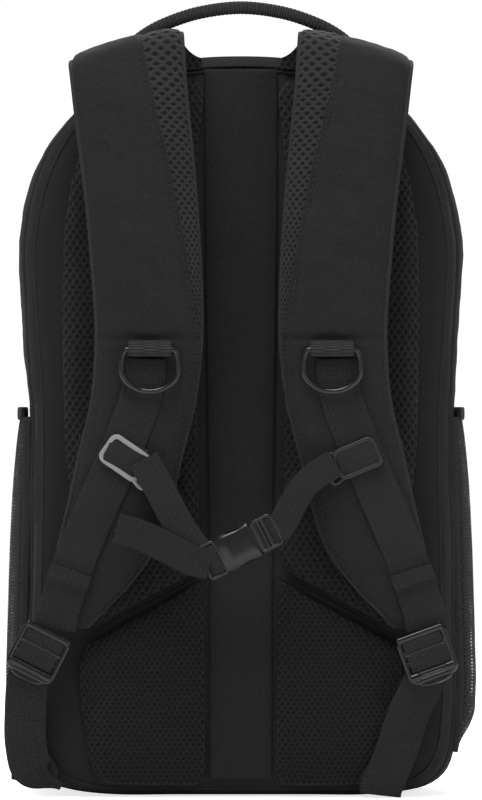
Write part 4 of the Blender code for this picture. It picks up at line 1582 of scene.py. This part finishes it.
    def edging(self, side: int, label: str, station: Array) -> None:
        """Bound cord down the outer edge, a fine one down the inner edge, and the stitched seam of the mesh.

        Args:
            side: -1 for the left strap, 1 for the right.
            label: the side, as it is written in names.
            station: places along the strap.
        """
        _, _, _, outer, inner = self.at(station)
        cords = []
        for x, share, wide in ((outer - 0.6, 0.0, 1.7), (inner + 0.6, 1.0, 1.3)):
            line, _, _, _, _ = self.at(station)
            z = line[:, 1] + self.shoulder(np.array(share), station)
            path = np.stack([side * x, line[:, 0] - 0.2, z], axis=1)[4:]
            cords.append(carried(at_mm(path), (0, -1, 0), loop_profile(wide * MM, wide * MM, 2, 8)))
        self.hang(dress(outward(build(f"strap_edging_{label}", *cords)), Palette.BINDING), "strap_fabric")
        seam = 1 - self.roll_share(station) - 0.035
        full = np.maximum(1 - np.abs(2 * seam - 1) ** 5, 0) ** 0.5
        line, normal, thick, _, _ = self.at(station)
        x = outer + (inner - outer) * seam
        out = line + normal * (thick / 2 * full + 0.25)[:, None]
        path = np.stack([side * x, out[:, 0], out[:, 1] + self.shoulder(seam, station)], axis=1)[30:-40]
        self.hang(self.stitches(f"strap_stitching_{label}", path, 3.6), "strap_fabric")

    def stitches(self, name: str, path: Array, pitch: float) -> bpy.types.Object:
        """A run of short thread stitches laid along a path.

        Args:
            name: name of the piece.
            path: the seam.
            pitch: length of a stitch and its gap.

        Returns:
            The thread.
        """
        run = np.linalg.norm(np.diff(path, axis=0), axis=1).sum()
        points = even(path, max(4, int(run / pitch) * 2 + 1))
        sheets = []
        for first, last in zip(points[0:-1:2], points[1::2]):
            middle = (first + last) / 2 + [0, -0.12, 0]
            sheets.append(carried(at_mm(np.stack([first, middle, last])), (0, -1, 0),
                                  loop_profile(0.34 * MM, 0.3 * MM, 2, 5)))
        return dress(outward(build(name, *sheets)), Palette.THREAD)

    def hang(self, thing: bpy.types.Object, slot: str, *nodes: str) -> None:
        """Passes a piece to span between the pack and the harness, about the strap's root.

        Args:
            thing: the piece.
            slot: its finish slot.
            nodes: the nodes that it stands for.
        """
        turn = at_mm([self.hinge])[0]
        span(thing, ("pack", "harness"), turn + [0, 0.004, 0], turn + [0, -0.012, 0], slot, *nodes)

    def make(self) -> None:
        """Both straps with the web and the ring tab on each."""
        for side, label in SIDES.items():
            self.pad(side, label)
            self.root(side, label)
            self.web(side, label)
            self.tab(side, label)

    def root(self, side: int, label: str) -> None:
        """Small dark gusset that fills the corner between the strap's top and the yoke.

        Args:
            side: -1 for the left strap, 1 for the right.
            label: the side, as it is written in names.
        """
        t, u = np.meshgrid(np.linspace(0, 1, 16), np.linspace(0, 1, 16), indexing="ij")
        high = np.array([39.0, -85, 458.5]) * (1 - t[..., None]) + np.array([24.5, -62.5,
                                                                             443.6]) * t[..., None]
        low = np.array([40.0, -71, 436.0]) * (1 - t[..., None]) + np.array([24.5, -61.5,
                                                                            437.0]) * t[..., None]
        grid = high * (1 - u[..., None]) + low * u[..., None]
        grid[..., 1] += 1.2 * np.sin(math.pi * t) * np.sin(math.pi * u)
        grid[..., 2] -= 3.0 * np.sin(math.pi * t) * (1 - u)
        grid = (grid * [side, 1, 1])[:, ::side]
        thing = solidify(build(f"strap_root_{label}", Sheet(at_mm(grid))), 1.0 * MM)
        self.hang(dress(thing, Palette.PAD_MESH), "air_mesh")

    def web(self, side: int, label: str) -> None:
        """Webbing from the ring down the strap to the lock, with the fold where it is sewn to the strap.

        Args:
            side: -1 for the left strap, 1 for the right.
            label: the side, as it is written in names.
        """
        table = np.array(self.webbing, float)
        station = np.linspace(8.3, 15.0, 150)
        middle = np.interp(station, table[:, 0], table[:, 1])
        for _ in range(12):
            middle[1:-1] = (middle[:-2] + middle[1:-1] * 2 + middle[2:]) / 4
        wave = 0.1 + 0.25 * smoothstep(11.0, 12.0, station)
        lift = 1.1 + 1.5 * np.exp(-(((station - 12.9) / 0.16) ** 2)) + wave * np.sin(station * 2.3 + side)
        path = self.surface(side, station, middle, lift)
        _, normal, _, _, _ = self.at(station)
        up = np.stack([0 * station, normal[:, 0], normal[:, 1]], axis=1)
        band = carried(at_mm(path), up, loop_profile(12.5 * MM, 0.8 * MM, 6, 22))
        fold = self.surface(side, np.linspace(12.55, 13.0, 14),
                            np.interp(np.linspace(12.55, 13.0, 14), station, middle),
                            3.0 + 0 * np.linspace(12.55, 13.0, 14))
        patch = carried(at_mm(fold), up[:1], loop_profile(12.9 * MM, 0.9 * MM, 6, 20))
        thing = outward(build(f"strap_web_{label}", band, patch))
        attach(dress(thing, Palette.WEB), "harness")
        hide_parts(f"strap_webbing_{label}")
        for way in (-1, 1):
            rows = station[::2]
            x = middle[::2] + way * 10.4
            line = self.surface(side, rows, x, lift[::2] + 0.85)
            sewn = self.stitches(f"web_stitching_{label}_{'outer' if way > 0 else 'inner'}", line[:9], 3.2)
            settle(sewn, "harness", "webbing")

    def tab(self, side: int, label: str) -> None:
        """Folded ribbed tab that holds the ring: up the face, over the bar and back.

        Args:
            side: -1 for the left strap, 1 for the right.
            label: the side, as it is written in names.
        """
        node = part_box(f"ring_tab_{label}")
        low, high = (np.array(v) / MM - [0, CENTRE, 0] for v in node)
        middle = (low[0] + high[0]) / 2
        half = (high[0] - low[0]) / 2
        _, normal, _, _, _ = self.at(np.array([8.15]))
        down = np.array([0, normal[0, 1], -normal[0, 0]])
        down = down * -np.sign(down[2])
        out = np.array([0, normal[0, 0], normal[0, 1]])
        bar = self.surface(side, np.array([8.15]), np.array([abs(middle)]), np.array([4.9]))[0]
        angle = np.linspace(0, math.pi, 18)
        turn = bar + 3.4 * (np.cos(angle)[:, None] * out + np.sin(angle)[:, None] * down)
        rise = -down * 5.0
        upper = turn[0] + np.linspace(1, 0.08, 8)[:, None] * rise - np.linspace(1, 0, 8)[:, None] * out * 2.2
        lower = turn[-1] + np.linspace(0.08, 1, 8)[:, None] * rise
        path = np.vstack([upper, turn, lower])
        up = np.vstack([np.tile(out, (8, 1)), np.cos(angle)[:, None] * out + np.sin(angle)[:, None] * down,
                        np.tile(-out, (8, 1))])
        band = carried(at_mm(path), up, loop_profile((half + 0.8) * MM, 0.85 * MM, 5, 22))
        thing = outward(build(f"ring_loop_{label}", band))
        settle(dress(thing, Palette.HANDLE), "harness", "webbing", f"ring_tab_{label}")


# ---------------------------------------------------------------- fittings


def slope(surface_up: tuple[float, float], turn: float) -> tuple[Array, Array, Array]:
    """Directions on a strap's slope: across and down it, turned about its outward normal, and the normal.

    Args:
        surface_up: the surface's normal (y, z).
        turn: the turn, in degrees.

    Returns:
        Across, down and out.
    """
    out = unit(np.array([0, surface_up[0], surface_up[1]]))
    across = np.array([1.0, 0, 0])
    up = np.cross(out, across)
    up = up * np.sign(up[2])
    angle = math.radians(turn)
    return (across * math.cos(angle) + up * math.sin(angle), up * math.cos(angle) - across * math.sin(angle),
            out)


@dataclass
class Fittings:
    """Moulded rings, locks and sliders, each riding on its own body."""

    lock_half: tuple = (15.6, 15.2)
    lock_left: tuple = (-121, -88.6, 87, -27)
    lock_right: tuple = (111, -88.6, 86, 20)
    ring_half: float = 17.0
    wire: float = 1.6
    frame_half: tuple = (14.2, 9.8)

    def ring(self, side: int, label: str, straps: Straps) -> None:
        """D-ring: a flat bar under the tab and a round bow below it, as one closed loop of wire.

        Args:
            side: -1 for the left strap, 1 for the right.
            label: the side, as it is written in names.
            straps: the strap that it hangs on.
        """
        bar = straps.surface(side, np.array([8.15]), np.array([54.0]), np.array([4.9]))[0]
        low, high = (np.array(v) / MM - [0, CENTRE, 0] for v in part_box(f"d_ring_{label}"))
        across, width = np.array([1.0, 0, 0]), self.ring_half - 0.2
        down = unit(np.array([0, ((low + high) / 2)[1] - bar[1], low[2] + self.wire - bar[2]]))
        down = unit(down * [0, 1, 1])
        half = np.array([[0, -25.2], [5.5, -24.4], [10.5, -22.0], [14.6, -18.6], [16.4, -15.0], [16.8, -10],
                         [16.6, -4.6],
                         [15.2, -1.2], [12.2, 0], [6, 0]])
        flat = spline(np.vstack([half, (half * [-1, 1])[::-1][:-1], half[:1]]), np.linspace(0, 19, 160))[:-1]
        flat = even_loop(flat, 110) * [width / 16.8, 1]
        path = bar + flat[:, :1] * across - flat[:, 1:] * down
        out = np.cross(across, down)
        grid = carried(at_mm(path), out, loop_profile(self.wire * 1.1 * MM, self.wire * MM, 2.3, 14),
                       closed=True)
        thing = outward(build(f"ring_{label}", grid))
        settle(dress(thing, Palette.GLOSS), f"ring_{label}", "black_plastic", f"d_ring_{label}")

    def lock(self, label: str, place: tuple) -> None:
        """Ladder lock: a rounded plate with raised rails, four cross bars and a tilt tab at its foot.

        Args:
            label: the side, as it is written in names.
            place: its middle (x, y, z) and its turn in degrees.
        """
        x, y, z, turn = place
        angle = math.radians(turn)
        # Across runs along the bars, down runs from the tilt bar to the tab, and out faces the wearer.
        across = np.array([math.cos(angle), 0, math.sin(angle)])
        up = np.array([-math.sin(angle), 0, math.cos(angle)])
        out = np.array([0, -1.0, 0])
        centre = np.array([x, y, z], float)
        half_x, half_y = self.lock_half
        sheets = []

        rim = rounded_loop(half_x - 1.5, half_y - 1.6, 4.0, 120)
        bend = 0.5 * (rim[:, 0] / half_x) ** 2
        path = at_mm(centre + rim[:, :1] * across + rim[:, 1:] * up + bend[:, None] * out)
        sheets.append(carried(path, out, loop_profile(1.5 * MM, 2.1 * MM, 3.4, 16), closed=True))
        for height, wide, thick, lift in ((13.4, 2.0, 1.9, 0.6), (4.0, 1.6, 1.2, 0.0), (-2.0, 1.4, 1.0, -0.4),
                                          (-10.6, 2.7, 1.9, 0.5)):
            run = np.linspace(-half_x + 1.2, half_x - 1.2, 26)
            bow = 0.5 * (run / half_x) ** 2 + lift
            line = at_mm(centre + run[:, None] * across + height * up + bow[:, None] * out)
            sheets.append(carried(line, out, loop_profile(wide * MM, thick * MM, 3.0, 14)))
        tab = np.linspace(0, 1, 16)
        line = at_mm(centre + (-half_y + 1.2 - tab * 3.9)[:, None] * up + (0.4 + 0.9 * tab**2)[:, None] * out)
        wide = 10.2 * (1 - tab**3) ** 0.5 + 0.6
        sheets.append(carried(line, out, loop_profile(1 * MM, 1.25 * MM, 3, 22),
                              scale=np.stack([wide, 1 + 0 * tab], 1)))
        for place_y in (-12.4, -10.6, -8.8):
            run = np.linspace(-9, 9, 14)
            line = at_mm(centre + run[:, None] * across + place_y * up + 2.1 * out)
            sheets.append(carried(line, out, loop_profile(0.5 * MM, 0.45 * MM, 2, 8)))
        thing = outward(build(f"lock_frame_{label}", *sheets))
        settle(dress(thing, Palette.GLOSS), f"lock_{label}", "black_plastic", f"ladder_lock_{label}")
        folds = []
        for first, last, lift in ((12.6, 4.4, 1.5), (3.4, -7.6, 1.7)):
            t = np.linspace(0, 1, 22)
            rise = lift * np.sin(math.pi * t) ** 0.6 + 0.4
            path = at_mm(centre + (first + (last - first) * t)[:, None] * up + rise[:, None] * out)
            folds.append(carried(path, out, loop_profile(12.0 * MM, 0.7 * MM, 6, 20)))
        thing = outward(build(f"lock_web_{label}", *folds))
        settle(dress(thing, Palette.WEB), f"lock_{label}", "webbing")

    def frame(self, side: int, label: str, straps: Straps, finish: Finish, slot: str, turn: float) -> None:
        """Sternum slider: a rounded frame with a middle bar and a hooked outer rail for the strap.

        Args:
            side: -1 for the left strap, 1 for the right.
            label: the side, as it is written in names.
            straps: the strap that it slides on.
            finish: its finish.
            slot: its finish slot.
            turn: its turn, in degrees.
        """
        centre = straps.surface(side, np.array([10.0]), np.array([69.0]), np.array([4.0]))[0]
        _, normal, _, _, _ = straps.at(np.array([10.0]))
        across, up, out = slope((normal[0, 0], normal[0, 1]), side * turn)
        half_x, half_y = self.frame_half
        rim = rounded_loop(half_x - 1.5, half_y - 1.5, 3.4, 120)
        path = at_mm(centre + rim[:, :1] * across + rim[:, 1:] * up)
        sheets = [carried(path, out, loop_profile(1.5 * MM, 1.5 * MM, 3, 16), closed=True)]
        hook = np.array([[half_x - 3, 7.6, -0.2], [half_x + 1.5, 9.0, 0.5], [half_x + 4.4, 8.8, 1.1],
                         [half_x + 5.4, 6.0, 1.3], [half_x + 5.6, 0, 1.3]])
        hook = np.vstack([hook, (hook[:-1] * [1, -1, 1])[::-1]])
        hook = even(spline(hook, np.linspace(0, len(hook) - 1, 120)), 70)
        path = at_mm(centre - side * hook[:, :1] * across + hook[:, 1:2] * up + hook[:, 2:] * out)
        sheets.append(carried(path, out, loop_profile(1.3 * MM, 1.3 * MM, 2.4, 14)))
        run = np.linspace(-half_x + 1.4, half_x - 1.4, 24)
        line = at_mm(centre + run[:, None] * across + 0.3 * out)
        sheets.append(carried(line, out, loop_profile(1.4 * MM, 1.4 * MM, 3, 14)))
        thing = outward(build(f"slider_frame_{label}", *sheets))
        settle(dress(thing, finish), "sternum", slot, f"sternum_slider_{label}")
        t = np.linspace(-1, 1, 30)
        _, normals, _, _, _ = straps.at(10.0 + t * 0.26)
        rise = 2.65 + 3.3 * np.cos(t * math.pi / 2) ** 0.7
        middle = np.interp(10.0 + t * 0.26, *np.array(straps.webbing, float).T) - 4.0
        hump = straps.surface(side, 10.0 + t * 0.26, middle, rise)
        tilt = np.stack([0 * t, normals[:, 0], normals[:, 1]], axis=1)
        band = carried(at_mm(hump), tilt, loop_profile(12.0 * MM, 0.75 * MM, 6, 20))
        settle(dress(outward(build(f"slider_web_{label}", band)), Palette.WEB), "sternum", "webbing")

    def make(self, straps: Straps) -> None:
        """Rings, locks and sliders on both sides.

        Args:
            straps: the straps that they sit on.
        """
        for side, label in SIDES.items():
            self.ring(side, label, straps)
        self.lock("left", self.lock_left)
        self.lock("right", self.lock_right)
        # The left slider is coloured grey as painted highlight; the right one keeps the black.
        self.frame(LEFT, "left", straps, Palette.HIGHLIT_GREY, "grey_plastic", 35)
        self.frame(RIGHT, "right", straps, Palette.BLACK, "black_plastic", 23)


@dataclass
class Sternum:
    """Chest strap: webs, loose tail, and a side-release buckle with its adjuster."""

    centre: tuple = (0, -106, 151.5)
    turn: float = 27
    left: tuple = ((-58, -110.0, 203), (-48, -109.6, 185), (-38, -107.8, 166), (-29, -107.4, 152),
                   (-21.5, -107.2, 145),
                   (-17.0, -106.6, 143))
    left_sides: tuple = ((0.80, 0, 0.6), (0.83, 0, 0.55), (0.75, 0, 0.66), (0.4, 0, 0.92), (-0.2, 0, 0.98),
                         (-0.45, 0, 0.89))
    tail: tuple = ((-18.5, -108.6, 140.5), (-30, -109.6, 143.5), (-45, -110.6, 151), (-60, -111, 158),
                   (-74, -110.8, 162))
    tail_sides: tuple = ((-0.45, 0, 0.89), (-0.2, 0, 0.98), (0.1, 0, 1.0), (0.25, 0, 1.0), (0.3, 0, 1.0))
    right: tuple = ((56, -110.2, 201), (40, -110, 190), (31, -108.5, 177), (26.5, -107.4, 168),
                    (22.5, -107.0, 163),
                    (17.0, -106.4, 160))
    right_sides: tuple = ((0.5, 0, -0.86), (0.65, -0.3, -0.75), (0.8, -0.3, -0.5), (0.8, 0, -0.6),
                          (0.5, 0, -0.86),
                          (0.45, 0, -0.89))

    def axes(self) -> tuple[Array, Array, Array]:
        """Along the buckle, across it, and out from it.

        Returns:
            The three directions.
        """
        angle = math.radians(self.turn)
        return (np.array([math.cos(angle), 0, math.sin(angle)]),
                np.array([-math.sin(angle), 0, math.cos(angle)]),
                np.array([0, -1.0, 0]))

    def spot(self, along: Array, across: Array, out: Array) -> Array:
        """A place given along, across and out of the buckle.

        Args:
            along: distance along it.
            across: distance across it.
            out: distance out of it.

        Returns:
            The place.
        """
        a, b, c = self.axes()
        along, across, out = np.broadcast_arrays(along, across, out)
        return np.array(self.centre) + along[..., None] * a + across[..., None] * b + out[..., None] * c

    def strap(self, name: str, points: tuple, sides: Array, half: float,
              crumple_by: float) -> bpy.types.Object:
        """A web through points, facing as its side directions say, with fine ribs and slight waves.

        Args:
            name: name of the piece.
            points: the points.
            sides: a side direction for each of them.
            half: half of its width.
            crumple_by: size of the waves.

        Returns:
            The web.
        """
        fine = np.linspace(0, len(sides) - 1, 400)
        dense = spline(np.array(points, float), fine)
        run = np.concatenate([[0], np.cumsum(np.linalg.norm(np.diff(dense, axis=0), axis=1))])
        want = np.linspace(0, run[-1], 60)
        path = np.stack([np.interp(want, run, dense[:, k]) for k in range(3)], axis=1)
        place = np.interp(want, run, fine)
        side = unit(np.stack([np.interp(place, np.arange(len(sides)), sides[:, k]) for k in range(3)],
                             axis=1))
        tangent = unit(np.gradient(path, axis=0))
        out = np.cross(side, tangent)
        out = out * -np.sign(out[:, 1:2].mean())
        wave = crumple_by * np.sin(np.linspace(0, 9, 60)) * smoothstep(0, 0.15, np.linspace(0, 1, 60))
        wave = wave * smoothstep(1, 0.85, np.linspace(0, 1, 60))
        path = path + out * wave[:, None]
        band = carried(at_mm(path), out, loop_profile(half * MM, 0.65 * MM, 6, 22))
        thing = outward(build(name, band))
        return dress(thing, Palette.WEB)

    def webs(self) -> None:
        """Both webs and the loose tail."""
        left = self.strap("sternum_left_web", self.left, np.array(self.left_sides, float), 9.2, 0.25)
        settle(left, "sternum", "webbing", "sternum_web_left")
        tail = self.strap("sternum_loose_tail", self.tail, np.array(self.tail_sides, float), 9.2, 0.25)
        settle(tail, "sternum", "webbing", "sternum_tail")
        right = self.strap("sternum_right_web", self.right, np.array(self.right_sides, float), 8.5, 0.2)
        path = at_mm(np.array(self.right, float))
        span(right, ("sternum", "buckle_male"), path[1], path[3], "webbing", "sternum_web_right")
        t = np.linspace(0, 1, 26)
        line = self.spot(-23.0 + 10.6 * t, 0 * t, 0.4 + 2.3 * np.sin(math.pi * t) ** 0.6)
        wrap = carried(at_mm(line), (0, -1, 0), loop_profile(8.6 * MM, 0.65 * MM, 6, 20))
        settle(dress(outward(build("adjuster_web", wrap)), Palette.WEB), "sternum", "webbing")

    def housing(self) -> None:
        """Female half: a glossy shell with side windows, a rounded lip and a bar for the web."""
        sheets = []
        t = np.linspace(-14, 9, 40)
        wide = 11.2 - 0.9 * smoothstep(-9, -14, t) - 0.5 * np.exp(-(((t - 1) / 5) ** 2))
        thick = 4.15 - 0.7 * smoothstep(-7, -14, t) - 0.25 * smoothstep(7, 9, t)
        for way in (-1, 1):
            # Upper and lower shells: an arched skin across the buckle, closed to a thin solid.
            u = np.linspace(-1, 1, 26)
            along, across = np.meshgrid(t, u, indexing="ij")
            arch = (1 - np.abs(across) ** 3.2) ** (1 / 2.4)
            outer = 1.6 + (thick[:, None] - 1.6) * arch
            place = self.spot(along, across * wide[:, None], way * outer)
            inner = self.spot(along, across[:, ::-1] * (wide[:, None] - 0.9),
                              way * np.minimum(outer[:, ::-1] - 0.9, 2.9))
            sheets.append(Sheet(at_mm(np.concatenate([place, inner], axis=1)), wrap_columns=True, caps=True))
        for way in (-1, 1):
            # Side walls before and behind the windows.
            for first, last in ((-13.8, -5.4), (3.4, 8.8)):
                run = np.linspace(first, last, 14)
                side = np.interp(run, t, wide) - 0.9
                line = at_mm(self.spot(run, way * side, 0 * run))
                sheets.append(carried(line, (0, -1, 0), loop_profile(1.0 * MM, 2.3 * MM, 4, 14)))
        run = np.linspace(-9.8, 9.8, 24)
        for place, lift in ((-13.3, 0.0), (-9.9, 0.0)):
            line = at_mm(self.spot(place + 0 * run, run, lift + 0 * run))
            sheets.append(carried(line, (0, -1, 0), loop_profile(0.85 * MM, 2.2 * MM, 3, 12)))
        thing = outward(build("buckle_housing", *sheets))
        settle(dress(thing, Palette.GLOSS), "sternum", "buckle_plastic", "buckle_female")

    def adjuster(self) -> None:
        """Frame behind the housing that the web loops through, with its ladder bar."""
        ring = rounded_loop(5.2, 10.2, 2.0, 100)
        path = at_mm(self.spot(-19.0 + ring[:, 0], ring[:, 1], 0.6 + 0 * ring[:, 0]))
        sheets = [carried(path, (0, -1, 0), loop_profile(1.25 * MM, 2.0 * MM, 3, 16), closed=True)]
        for way in (-1, 1):
            run = np.linspace(-15.4, -13.2, 6)
            sheets.append(carried(at_mm(self.spot(run, way * 8.6 + 0 * run, 0 * run)), (0, -1, 0),
                                  loop_profile(1.2 * MM, 1.4 * MM, 3, 12)))
        thing = outward(build("buckle_ladder", *sheets))
        settle(dress(thing, Palette.GLOSS), "sternum", "buckle_plastic", "buckle_adjuster")

    def male(self) -> None:
        """Male half: body with a web slot, a middle tongue, and shoulders behind the prongs."""
        sheets = []
        ring = rounded_loop(7.2, 9.4, 3.2, 100)
        path = at_mm(self.spot(16.6 + ring[:, 0], ring[:, 1], 0 * ring[:, 0]))
        sheets.append(carried(path, (0, -1, 0), loop_profile(1.15 * MM, 1.85 * MM, 3.2, 16), closed=True))
        run = np.linspace(-9.6, 9.6, 24)
        for place, wide in ((12.6, 3.2), (17.6, 1.3)):
            sheets.append(carried(at_mm(self.spot(place + 0 * run, run, 0.1 + 0 * run)), (0, -1, 0),
                                  loop_profile(wide * MM, 1.6 * MM, 3.4, 16)))
        run = np.linspace(9.4, -6.8, 26)
        taper = 1 - 0.4 * smoothstep(2, -7, run)
        sheets.append(carried(at_mm(self.spot(run, 0 * run, 0 * run)), (0, -1, 0),
                              loop_profile(1.7 * MM, 1.25 * MM, 3, 14), scale=taper))
        thing = outward(build("buckle_tongue", *sheets))
        settle(dress(thing, Palette.GLOSS), "buckle_male", "buckle_plastic", "buckle_male")

    def make(self) -> None:
        """All of the chest strap. The prongs keep their own shape and take a new finish."""
        self.webs()
        self.housing()
        self.adjuster()
        self.male()


@dataclass
class Haul:
    """Rolled haul handle with ribbed sleeve and its seam."""

    radius: float = 4.0
    y: float = -58
    route: tuple = ((73, 438), (69, 447), (60, 456), (46, 464), (25, 471), (0, 474))

    def make(self) -> None:
        """The handle as a ribbed tube: its radius swells and sinks a little with each rib."""
        half = np.array(self.route, float)
        flat = np.vstack([half * [-1, 1], half[:-1][::-1]])
        flat = even(spline(flat, np.linspace(0, len(flat) - 1, 400)), 420)
        run = np.concatenate([[0], np.cumsum(np.linalg.norm(np.diff(flat, axis=0), axis=1))])
        ends = smoothstep(0, 16, np.minimum(run, run[-1] - run))
        rib = 1 + 0.030 * np.sin(run * 2 * math.pi / 2.4) * ends
        path = at_mm(np.stack([flat[:, 0], np.full(len(flat), self.y) + 1.2 * (1 - ends), flat[:, 1]],
                              axis=1))
        profile = loop_profile(self.radius * 0.97 * MM, self.radius * 1.02 * MM, 2.2, 22)
        grip = carried(path, (0, -1, 0), profile, scale=np.stack([rib * (0.82 + 0.18 * ends), rib], axis=1))
        thing = outward(build("haul_grip", grip))
        settle(dress(thing, Palette.HANDLE), "handle", "webbing", "haul_handle")
        seam = np.stack([flat[:, 0], self.y + self.radius * 0.78 + 0 * run, flat[:, 1] - self.radius * 0.55],
                        axis=1)[24:-24]
        thread = carried(at_mm(seam), (0, 0, -1), loop_profile(0.5 * MM, 0.5 * MM, 2, 6))
        settle(dress(outward(build("haul_seam", thread)), Palette.BINDING), "handle", "webbing")


@dataclass
class Anchors:
    """Wings that hold the lower webbing to the pack, and that webbing up to the locks."""

    left: tuple = ((-124.0, -85.7, 82), (-127.6, -83.6, 70), (-129, -77, 52), (-129, -70, 32),
                   (-124, -65, 14))
    right: tuple = ((113.0, -85.7, 81), (108.2, -83.6, 68), (100, -78, 50), (93, -73.5, 28), (85, -72, 8))

    def web(self, label: str, points: tuple, foot: tuple, tip: float, lock: tuple) -> None:
        """Lower web from its lock down to its wing, easing from the lock's tilt to upright.

        Args:
            label: the side, as it is written in names.
            points: its route down from the lock.
            foot: the end of the route.
            tip: share of the width that is left there.
            lock: the lock's middle and its turn in degrees.
        """
        route = np.vstack([np.array(points, float), np.array(foot, float)])
        path = even(spline(route, np.linspace(0, len(route) - 1, 200)), 70)
        t = np.linspace(0, 1, 70)
        path[:, 1] += 0.5 * np.sin(t * 5) * smoothstep(0, 0.2, t)
        turn = math.radians(lock[3])
        share = smoothstep(0.0, 0.5, t)[:, None]
        across = np.array([math.cos(turn), 0, math.sin(turn)]) * (1 - share) + np.array([1.0, 0, 0]) * share
        out = np.cross(across, unit(np.gradient(path, axis=0)))
        out = out * -np.sign(out[:, 1:2])
        taper = np.stack([1 - (1 - tip) * smoothstep(0.72, 1, t), np.ones(70)], axis=1)
        joins = at_mm(path)
        for name, rows, bodies, ends, nodes in (
                ("lower_web", slice(28, None), ("pack", "harness"), (60, 32), (f"lower_webbing_{label}",)),
                ("lock_end_web", slice(None, 32), ("harness", f"lock_{label}"), (28, 7), ())):
            profile = loop_profile(12.5 * MM, (0.8 if nodes else 0.78) * MM, 6, 22)
            thing = outward(build(f"{name}_{label}",
                                  carried(joins[rows], out[rows], profile, scale=taper[rows])))
            span(dress(thing, Palette.WEB), bodies, joins[ends[0]], joins[ends[1]], "webbing", *nodes)

    def wing(self, label: str) -> None:
        """Folded triangle of cloth behind the web's end.

        Args:
            label: the side, as it is written in names.
        """
        low, high = (np.array(v) / MM - [0, CENTRE, 0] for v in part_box(f"strap_wing_{label}"))
        middle, half = (low + high) / 2, (high - low) / 2
        t = np.linspace(-1, 1, 30)
        line = np.stack([middle[0] + 0 * t, middle[1] + 0 * t, middle[2] + t * (half[2] - 0.4)], axis=1)
        wide = half[0] * (1 - 0.30 * smoothstep(-0.2, 1, t)) * (1 - 0.3 * smoothstep(0.85, 1, np.abs(t)))
        body = carried(at_mm(line), (0, -1, 0), loop_profile(1 * MM, 1 * MM, 4, 26),
                       scale=np.stack([wide, half[1] * (1 - 0.3 * smoothstep(0.8, 1, np.abs(t)))], axis=1))
        thing = outward(build(f"wing_cloth_{label}", body))
        settle(dress(thing, Palette.FACE), "pack", "body_fabric", f"strap_wing_{label}")

    def make(self, fittings: Fittings) -> None:
        """Both sides.

        Args:
            fittings: the fittings, for the locks' places.
        """
        self.web("left", self.left, ((-108, -60.5, 6.0),), 0.2, fittings.lock_left)
        self.web("right", self.right, ((83.5, -68, 1.6),), 1.0, fittings.lock_right)
        for label in SIDES.values():
            self.wing(label)


# ---------------------------------------------------------------- floor, light and camera


def studio() -> None:
    """Pale floor, soft light from the top and the front, and a straight camera at the wearer's side."""
    scene = bpy.context.scene
    bpy.ops.mesh.primitive_plane_add(size=8, location=(0, 0, -0.0006))
    floor = bpy.context.object
    floor.name = "pale_floor"
    material = bpy.data.materials.new("floor_white")
    material.use_nodes = True
    shader = material.node_tree.nodes["Principled BSDF"]
    shader.inputs["Base Color"].default_value = (0.98, 0.98, 0.98, 1)
    shader.inputs["Roughness"].default_value = 0.9
    floor.data.materials.append(material)
    tree = material.node_tree
    ray = tree.nodes.new("ShaderNodeLightPath").outputs["Is Camera Ray"]
    glow = tree.nodes.new("ShaderNodeMath")
    glow.operation = "MULTIPLY"
    glow.inputs[1].default_value = 0.76
    tree.links.new(ray, glow.inputs[0])
    tree.links.new(glow.outputs[0], shader.inputs["Emission Strength"])
    shader.inputs["Emission Color"].default_value = (1, 1, 1, 1)
    world = bpy.data.worlds.new("studio_white")
    world.use_nodes = True
    tree = world.node_tree
    tree.nodes["Background"].inputs["Color"].default_value = (1, 1, 1, 1)
    seen = tree.nodes.new("ShaderNodeLightPath").outputs["Is Camera Ray"]
    level = tree.nodes.new("ShaderNodeMapRange")
    level.inputs[3].default_value, level.inputs[4].default_value = 0.26, 1.05
    tree.links.new(seen, level.inputs[0])
    tree.links.new(level.outputs[0], tree.nodes["Background"].inputs["Strength"])
    scene.world = world
    scene.view_settings.view_transform = "Standard"
    for name, place, size, power, aim in (
            ("key", (-0.25, -1.0, 1.75), 1.1, 26, (0, 0, 0.2)),
            ("fill", (1.5, -1.9, 1.1), 1.2, 5, (0, 0, 0.25)),
            ("back", (0.2, 1.6, 2.0), 1.6, 40, (0, 0, 0.1))):
        light = bpy.data.lights.new(name, "AREA")
        light.size, light.energy = size, power
        lamp = bpy.data.objects.new(name, light)
        lamp.location = place
        lamp.rotation_euler = (Vector(aim) - Vector(place)).to_track_quat("-Z", "Y").to_euler()
        scene.collection.objects.link(lamp)
    camera = bpy.data.cameras.new("front_camera")
    camera.sensor_fit, camera.sensor_height, camera.lens = "VERTICAL", 24, 200
    eye = bpy.data.objects.new("front_camera", camera)
    eye.location = (0, -4.06, 0.2382)
    eye.rotation_euler = (math.radians(90), 0, 0)
    scene.collection.objects.link(eye)
    scene.camera = eye


def finish_kept_nodes() -> None:
    """New finishes for the CAD pieces whose shape is kept: prongs, zip sliders and pulls."""
    for name, node in frame["nodes"].items():
        thing = node if isinstance(node, bpy.types.Object) else bpy.data.objects.get(name)
        if thing is None:
            continue
        if "prong" in name:
            finish = Palette.GLOSS
        elif "slider" in name or "pull" in name:
            finish = Palette.METAL
        else:
            finish = Palette.LINING
        material = Palette.of(finish)
        if thing.data.materials:
            for slot in thing.material_slots:
                slot.material = material
        else:
            thing.data.materials.append(material)


def main() -> None:
    """Builds the pack in order, from its floor up to its fittings."""
    studio()
    finish_kept_nodes()
    Shell().make()
    BackPads().make()
    Pockets().make()
    straps = Straps()
    straps.make()
    fittings = Fittings()
    fittings.make(straps)
    Sternum().make()
    Haul().make()
    Anchors().make(fittings)
    LOG.info("sizes written")


if __name__ == "__main__":
    logging.basicConfig(level=logging.INFO, format="%(message)s")
    main()
